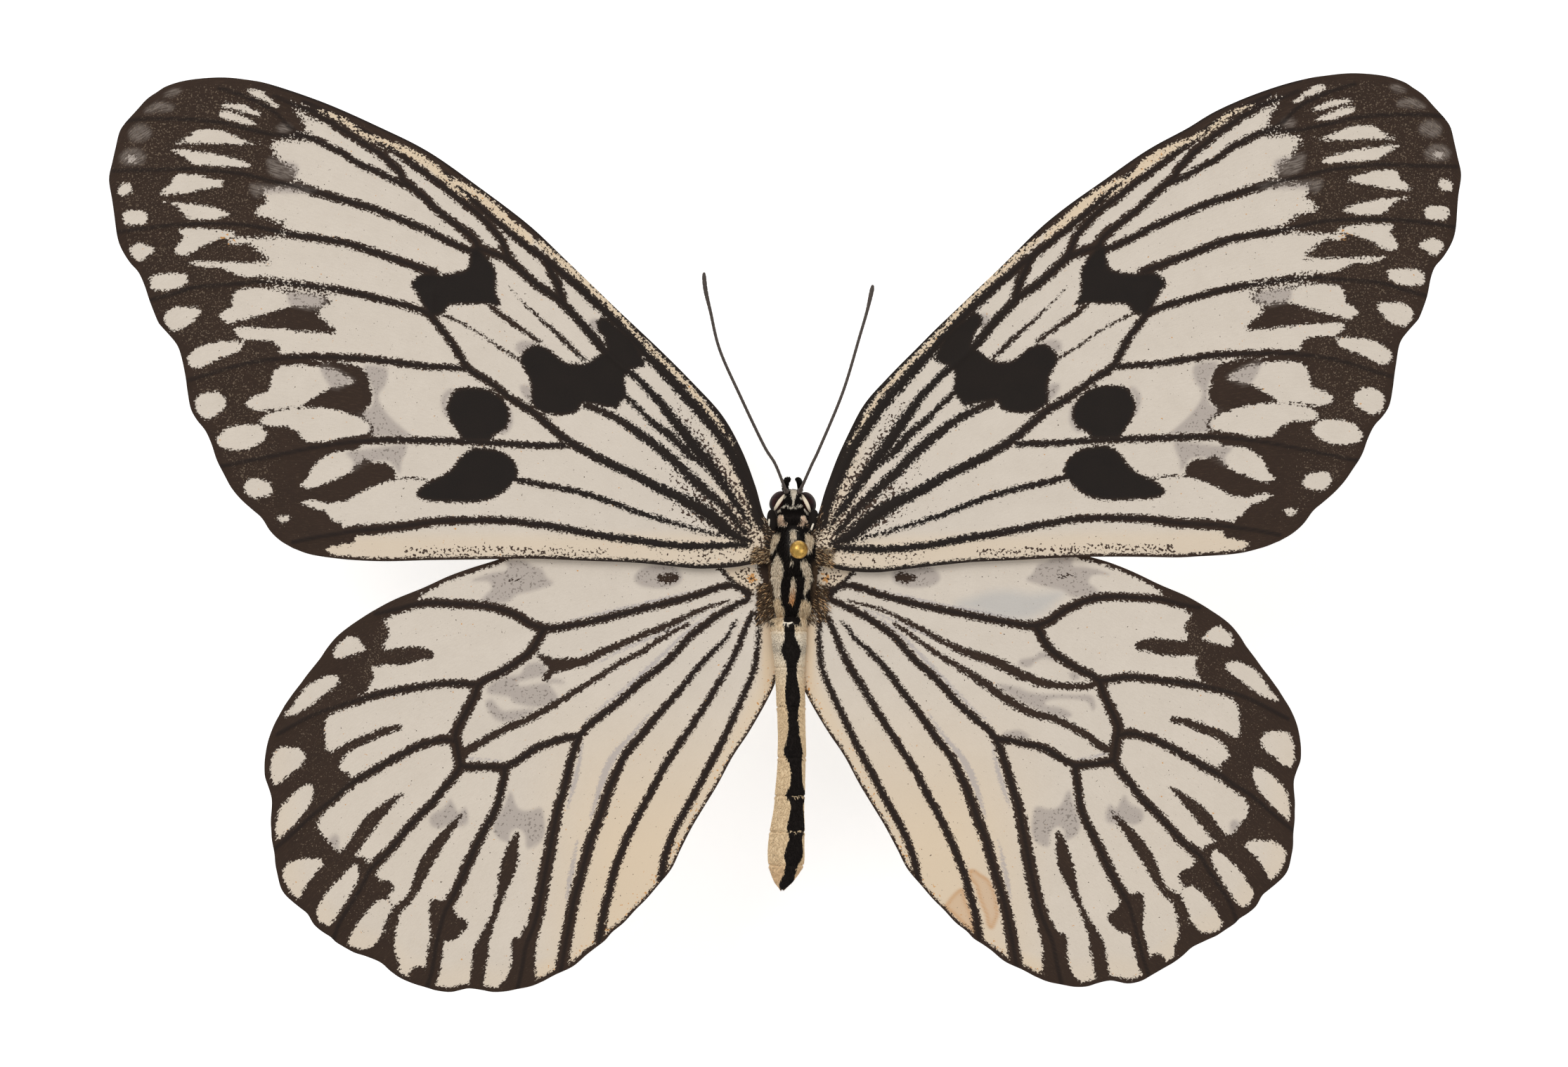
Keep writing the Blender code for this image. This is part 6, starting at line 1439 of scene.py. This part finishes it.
ANTENNA_PATHS = {
    "antenna_left": (
        (-.55, 5.35, 30.6, .27), (-.83, 5.95, 31.2, .25), (-1.7, 8.1, 31.7, .25), (-2.8, 9.9, 31.9, .25),
        (-5, 14.5, 32.3, .25), (-7, 19, 32.5, .25), (-7.9, 22.7, 32.6, .27), (-8.35, 24.65, 32.6, .36),
        (-8.5, 26, 32.6, .34), (-8.5, 26.4, 32.6, .18)),
    "antenna_right": (
        (.55, 5.35, 30.6, .27), (.89, 5.95, 31.2, .25), (1.8, 8, 31.7, .25), (2.6, 9.7, 31.9, .25),
        (4.8, 15, 32.3, .25), (6.4, 20.3, 32.5, .25), (7.1, 22.7, 32.6, .27), (7.45, 24.2, 32.6, .36),
        (7.6, 24.9, 32.6, .34), (7.65, 25.2, 32.6, .18)),
}
ANTENNA_THINNING = 0.6
ANTENNA_RINGS = 46
ANTENNA_ROWS = 560


def add_antennae():
    """Feelers: tubes that narrow by a tenth at each ring joint, on a round socket."""
    for name, rows in ANTENNA_PATHS.items():
        path = along(curve_through(np.array(rows), 0.1), ANTENNA_ROWS)
        ring = np.linspace(0, ANTENNA_RINGS, ANTENNA_ROWS) % 1
        radii = ANTENNA_THINNING * path[:, 3] * (1 - 0.12 * bell(ring - 0.5, 0.09))
        shaft = tube_surface(path[:, :3], radii, 12, (0, 0, 1))
        socket = ovoid(path[6, :3], path[12, :3] - path[0, :3], 0.22, 0.26, 1.0, (1, 0, 0), 14, 18)
        mesh = mesh_from_arrays(name + "_mesh", *join_parts([shaft, socket]))
        add_piece("ringed_" + name, mesh, CUTICLE, [name])


PALP_PATH = np.array([(-.62, 5.35, 28.35, .26), (-.72, 5.8, 28.2, .27), (-.7, 6.2, 28.45, .26),
                      (-.6, 6.5, 29.1, .24), (-.47, 6.62, 29.8, .19), (-.34, 6.64, 30.3, .09)])
PALP_ROWS = 60
PALP_SIDES = 18
TONGUE_TURNS = 1.5


def add_mouthparts():
    """Scaly palps that curve up before the face, and the coiled tongue; returns the palps' grids."""
    path = along(curve_through(PALP_PATH, 0.05), PALP_ROWS)
    radii = path[:, 3] * (1 - 0.14 * bell(np.linspace(0, 3, PALP_ROWS) % 1 - 0.5, 0.1))
    left = tube_surface(path[:, :3], radii, PALP_SIDES, (1, 0, 0))
    grids = []
    for name, (points, faces) in (("palp_left", left), ("palp_right", mirrored(left))):
        mesh = mesh_from_arrays(name + "_mesh", points, faces)
        face = plain_marks(len(points), pale=0.5 * smooth_step(6.2, 5.6, points[:, 1]))
        add_piece("scaly_" + name, mesh, FUR, [name], face)
        grids.append(seamed(points[:-2].reshape(PALP_ROWS, PALP_SIDES, 3)))
    t = np.linspace(0, 1, 220)
    angle = np.pi / 2 - TAU * TONGUE_TURNS * t
    reach = 1.3 - 1.0 * t
    coil = np.stack([0 * t, 4.25 + reach * np.cos(angle), 25.75 + reach * np.sin(angle)], axis=1)
    wrinkled = (0.25 - 0.1 * t) * 0.8 * (1 + 0.05 * np.sin(t * 420))
    tongue = tube_surface(coil, wrinkled, 12, (1, 0, 0))
    add_piece("coiled_tongue", mesh_from_arrays("tongue_mesh", *tongue), CUTICLE, ["proboscis"])
    return grids


# Legs: plan of the joints, their heights, the radii there, and how many rows the foot takes
LEGS = {
    "foreleg": (xy(-1.1, 1.3, -1.6, 3.3, -1.75, 3.75, -1.8, 3.3, -1.55, 1.2, -1.4, .2),
                (26.4, 26, 25.75, 25.3, 24.9, 24.9), (.36, .32, .27, .26, .2, .13), 2),
    "midleg": (xy(-1.2, -.9, -2.5, .6, -3.4, 2, -3.75, 1.9, -3.7, -1, -3.4, -4.6, -3, -7.4, -2.7, -9.2),
               (26.3, 24.3, 23.6, 23, 22.5, 22.4, 22.9, 23), (.42, .38, .3, .26, .24, .2, .17, .12), 3),
    "hindleg": (xy(-1.1, -3.6, -1.7, -5.2, -2.3, -8.2, -2.2, -8.8, -1.5, -11.6, -1, -14,
                   -.8, -16.6, -.75, -18.2),
                (26.5, 25, 24.5, 24.2, 24.2, 24.5, 25, 25.1), (.42, .38, .3, .26, .24, .2, .17, .12), 3),
}
LEG_THINNING = 0.82
LEG_ROWS = 60
LEG_SIDES = 14
FOOT_JOINTS = 5


def limb_tube(path, sides=LEG_SIDES):
    """A limb's joint-to-joint part: a tube fuller in its middle, pinched to seven tenths at its ends."""
    t = np.linspace(0, 1, len(path))
    shape = 0.72 + 0.28 * smooth_step(0, 0.12, t) * smooth_step(1, 0.88, t) + 0.12 * np.sin(np.pi * t) ** 2
    return tube_surface(path[:, :3], path[:, 3] * shape, sides, (0.3, 0.2, 1))


def leg_parts(plan, heights, radii, foot_rows):
    """Thigh, shin and five foot joints, with spurs on the shin and two claws."""
    rows = np.column_stack([plan, heights, np.array(radii) * LEG_THINNING])
    shin_end = len(rows) - foot_rows + 1
    parts = [limb_tube(along(curve_through(run, 0.08), LEG_ROWS)) for run in (rows[:3], rows[2:shin_end])]
    joint = LEG_ROWS // FOOT_JOINTS
    path = along(curve_through(rows[-foot_rows:], 0.05), LEG_ROWS + 1)
    parts += [limb_tube(path[first:first + joint + 1], 10) for first in range(0, LEG_ROWS, joint)]
    end, ahead = path[-1, :3], path[-1, :3] - path[-8, :3]
    ahead = ahead / np.linalg.norm(ahead)
    aside = np.cross(ahead, (0, 0, 1))
    t = np.linspace(0, 1, 16)[:, None]
    for lean in (-1, 1):
        claw = end + 0.42 * t * ahead + lean * 0.13 * t * aside - 0.2 * t**2 * np.array([0, 0, 1])
        spur = path[0, :3] + 0.6 * t * ahead + lean * 0.22 * t * aside - 0.12 * t * np.array([0, 0, 1])
        parts += [tube_surface(thorn, radius * (1.05 - t[:, 0]), 8, (0, 0, 1))
                  for thorn, radius in ((claw, 0.055), (spur, 0.06))]
    return parts


def add_legs(random):
    """Six legs, each a joined mesh, with short scales lying toward the foot."""
    patches = []
    for kind, rows in LEGS.items():
        parts = leg_parts(*rows)
        for side, turned in (("left", parts), ("right", [mirrored(part) for part in parts])):
            name = f"{kind}_{side}"
            mesh = mesh_from_arrays(name + "_mesh", *join_parts(turned))
            add_piece("jointed_" + name, mesh, CUTICLE, [name])
        for mirror in (1, -1):
            for points, _ in parts[:2]:
                grid = seamed(points[:-2].reshape(LEG_ROWS, LEG_SIDES, 3) * (mirror, 1, 1))[:, ::mirror]
                patches.append(coat_patch(grid, 1.0, 420, 0.26, 0.035, 0.35, random,
                                          lambda roots: plain_marks(len(roots), grey=0.25)))
    add_coat("coat_legs", FUR, patches)


def add_coats(grid, palps, random):
    """Hair on head, palps and thorax, tufts behind the scutellum, and flat scales on the abdomen."""
    x, y = square_middles(grid)
    head = smooth_step(3.1, 3.4, y)
    face = 0.6 + 0.6 * smooth_step(5.0, 4.2, y)
    patches = [coat_patch(grid, head * face, 4200, 0.3, 0.028, 0.5, random, body_marks)]
    patches += [coat_patch(palp, 1.0, 700, 0.3, 0.03, 0.45, random, body_marks) for palp in palps]
    add_coat("coat_head", FUR, patches)
    thorax = smooth_step(3.2, 2.9, y) * smooth_step(-7.0, -6.4, y)
    patches = [coat_patch(grid, thorax, 13500, 0.62, 0.036, 0.42, random, body_marks)]
    tufts = thorax * smooth_step(-4.6, -5.2, y) * smooth_step(0.6, 1.0, x)
    patches.append(coat_patch(grid, tufts + TRACE, 1500, 1.0, 0.04, 0.3, random, body_marks))
    add_coat("coat_thorax", FUR, patches)
    abdomen = smooth_step(-6.9, -7.3, y)
    patches = [coat_patch(grid, abdomen, 17000, 0.34, 0.055, 0.14, random, body_marks)]
    add_coat("coat_abdomen", FUR, patches)


def root_hair_marks(pale_share, warm, random):
    """Marks of hair at the wings' roots: brown, with a share of pale hairs mixed in."""
    def marks_at(roots):
        count = len(roots)
        pick = random.random(count)
        return plain_marks(count, pale=0.65 * (pick < pale_share), warm=warm, orange=0.5 * (pick < 0.12),
                           brown=0.5 + 0.6 * random.random(count))
    return marks_at


def add_root_hair(random):
    """Short brown hair over the roots of the wings, where they leave the body."""
    patches = []
    for (kind, side), grid in wing_grids.items():
        x, y = square_middles(grid)
        if kind == "forewing":
            behind = smooth_step(3.9, 3.5, x) * smooth_step(0.2, -0.2, y)
            ahead = smooth_step(3.0, 2.5, x) * smooth_step(0.0, 0.4, y)
            # Where, count, length, radius, lift, share of pale hairs, warmth and lean to the tail
            tufts = [(behind, 420, 0.5, 0.035, 0.5, 0.34, 1.0, -0.4),
                     (ahead, 160, 0.4, 0.03, 0.4, 0.25, 0.4, 0)]
        else:
            near = smooth_step(3.5, 2.9, x) * smooth_step(-7.4, -6.6, y) * smooth_step(-3.2, -3.8, y)
            tufts = [(near, 750, 0.55, 0.035, 0.55, 0.18, 1.0, -0.7)]
        for near, count, length, radius, lift, pale_share, warm, back in tufts:
            patches.append(coat_patch(grid, near + TRACE, count, length, radius, lift, random,
                                      root_hair_marks(pale_share, warm, random), (0, back, 0)))
    add_coat("coat_wing_roots", FUR, patches)


PIN_PLACE = (0.55, -0.1)
PIN_HEAD = 0.86
PIN_HEAD_Z = 39.74
TEGULA_Z = 30.4


def add_pin():
    """The insect pin: a lathed shaft with a ball head, its foot pressed into the base."""
    t = np.linspace(np.pi - 0.36, 0.05, 60)
    radii = np.concatenate([[0.12, 0.2, 0.22, 0.22, 0.22, 0.24, 0.28], PIN_HEAD * np.sin(t)])
    heights = np.concatenate([[3.0, 3.6, 4.4, 30, 38.6, 38.85, 38.9], PIN_HEAD_Z + PIN_HEAD * np.cos(t)])
    path = np.column_stack([np.full((len(heights), 2), PIN_PLACE), heights])
    part = tube_surface(path, radii, 48, (1, 0, 0))
    add_piece("brass_pin", mesh_from_arrays("pin_mesh", *part), BRASS, ["stand_pin"])


def add_shoulder_lobes():
    """Black tegulae over the roots of the forewings, each with a pale dash."""
    for side, name, dash in ((-1, "left", xy(-2.28, 2.75, -2.34, 2.2)),
                             (1, "right", xy(1.95, 2.3, 1.76, 1.8))):
        centre, along_lobe = (side * 2.0, 2.65, TEGULA_Z), (side * 0.1, 1, -0.15)
        points, faces = ovoid(centre, along_lobe, 1.1, 0.55, 0.9, (0, 0, 1))
        streak = gap_to_line(points[:, :2], dash, (0.07, 0.08))
        marks = plain_marks(len(points), pale=smooth_step(0.06, -0.04, streak) * (points[:, 2] > TEGULA_Z))
        add_piece(f"tegula_{name}", mesh_from_arrays(f"tegula_{name}_mesh", points, faces), FUR,
                  marks=marks)


random = np.random.default_rng(7)
skin = add_body()
add_eyes()
add_antennae()
palp_grids = add_mouthparts()
add_legs(random)
add_pin()
add_shoulder_lobes()
add_coats(skin, palp_grids, random)
add_root_hair(random)
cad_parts["stand_base"].material_slots[0].material = base_material()


# Camera, light and floor


FLOOR_REACH = 900.0
# Lamps: place in metres, width of the disk in metres and watts
LAMPS = {"key_light": ((-0.35, 0.45, 0.75), 0.6, 3.6), "fill_light": ((0.5, -0.25, 0.7), 0.7, 1.5)}
CAMERA_PLACE = (-0.85, 1.42, WING_Z + 1.0 + 418.7)


def add_floor():
    corners = FLOOR_REACH * np.array([(-1, -1, 0), (1, -1, 0), (1, 1, 0), (-1, 1, 0)])
    floor_mesh = mesh_from_arrays("floor_mesh", corners, [np.array([[0, 1, 2, 3]])])
    floor = bpy.data.objects.new("floor", floor_mesh)
    bpy.context.scene.collection.objects.link(floor)
    floor_mesh.materials.append(new_material("pale_floor", 0.9, Base_Color=(0.9, 0.9, 0.9, 1),
                                             Emission_Color=(1, 1, 1, 1), Emission_Strength=0.45)[0])


def add_lights():
    world = bpy.data.worlds.new("studio")
    bpy.context.scene.world = world
    world.use_nodes = True
    background = world.node_tree.nodes["Background"]
    background.inputs["Color"].default_value = (1, 1, 1, 1)
    background.inputs["Strength"].default_value = 0.55
    for name, (place, size, power) in LAMPS.items():
        light = bpy.data.lights.new(name, "AREA")
        light.shape = "DISK"
        light.size = size
        light.energy = power
        lamp = bpy.data.objects.new(name, light)
        lamp.location = place
        aim = -lamp.location
        aim.z += WING_Z * MM
        lamp.rotation_euler = aim.to_track_quat("-Z", "Y").to_euler()
        bpy.context.scene.collection.objects.link(lamp)


def add_camera():
    camera = bpy.data.cameras.new("straight_down")
    camera.lens = 100
    camera.sensor_width = 36
    camera.clip_start = 0.01
    eye = bpy.data.objects.new("camera", camera)
    eye.location = [MM * part for part in CAMERA_PLACE]
    bpy.context.scene.collection.objects.link(eye)
    bpy.context.scene.camera = eye


add_floor()
add_lights()
add_camera()
bpy.context.scene.view_settings.view_transform = "Standard"
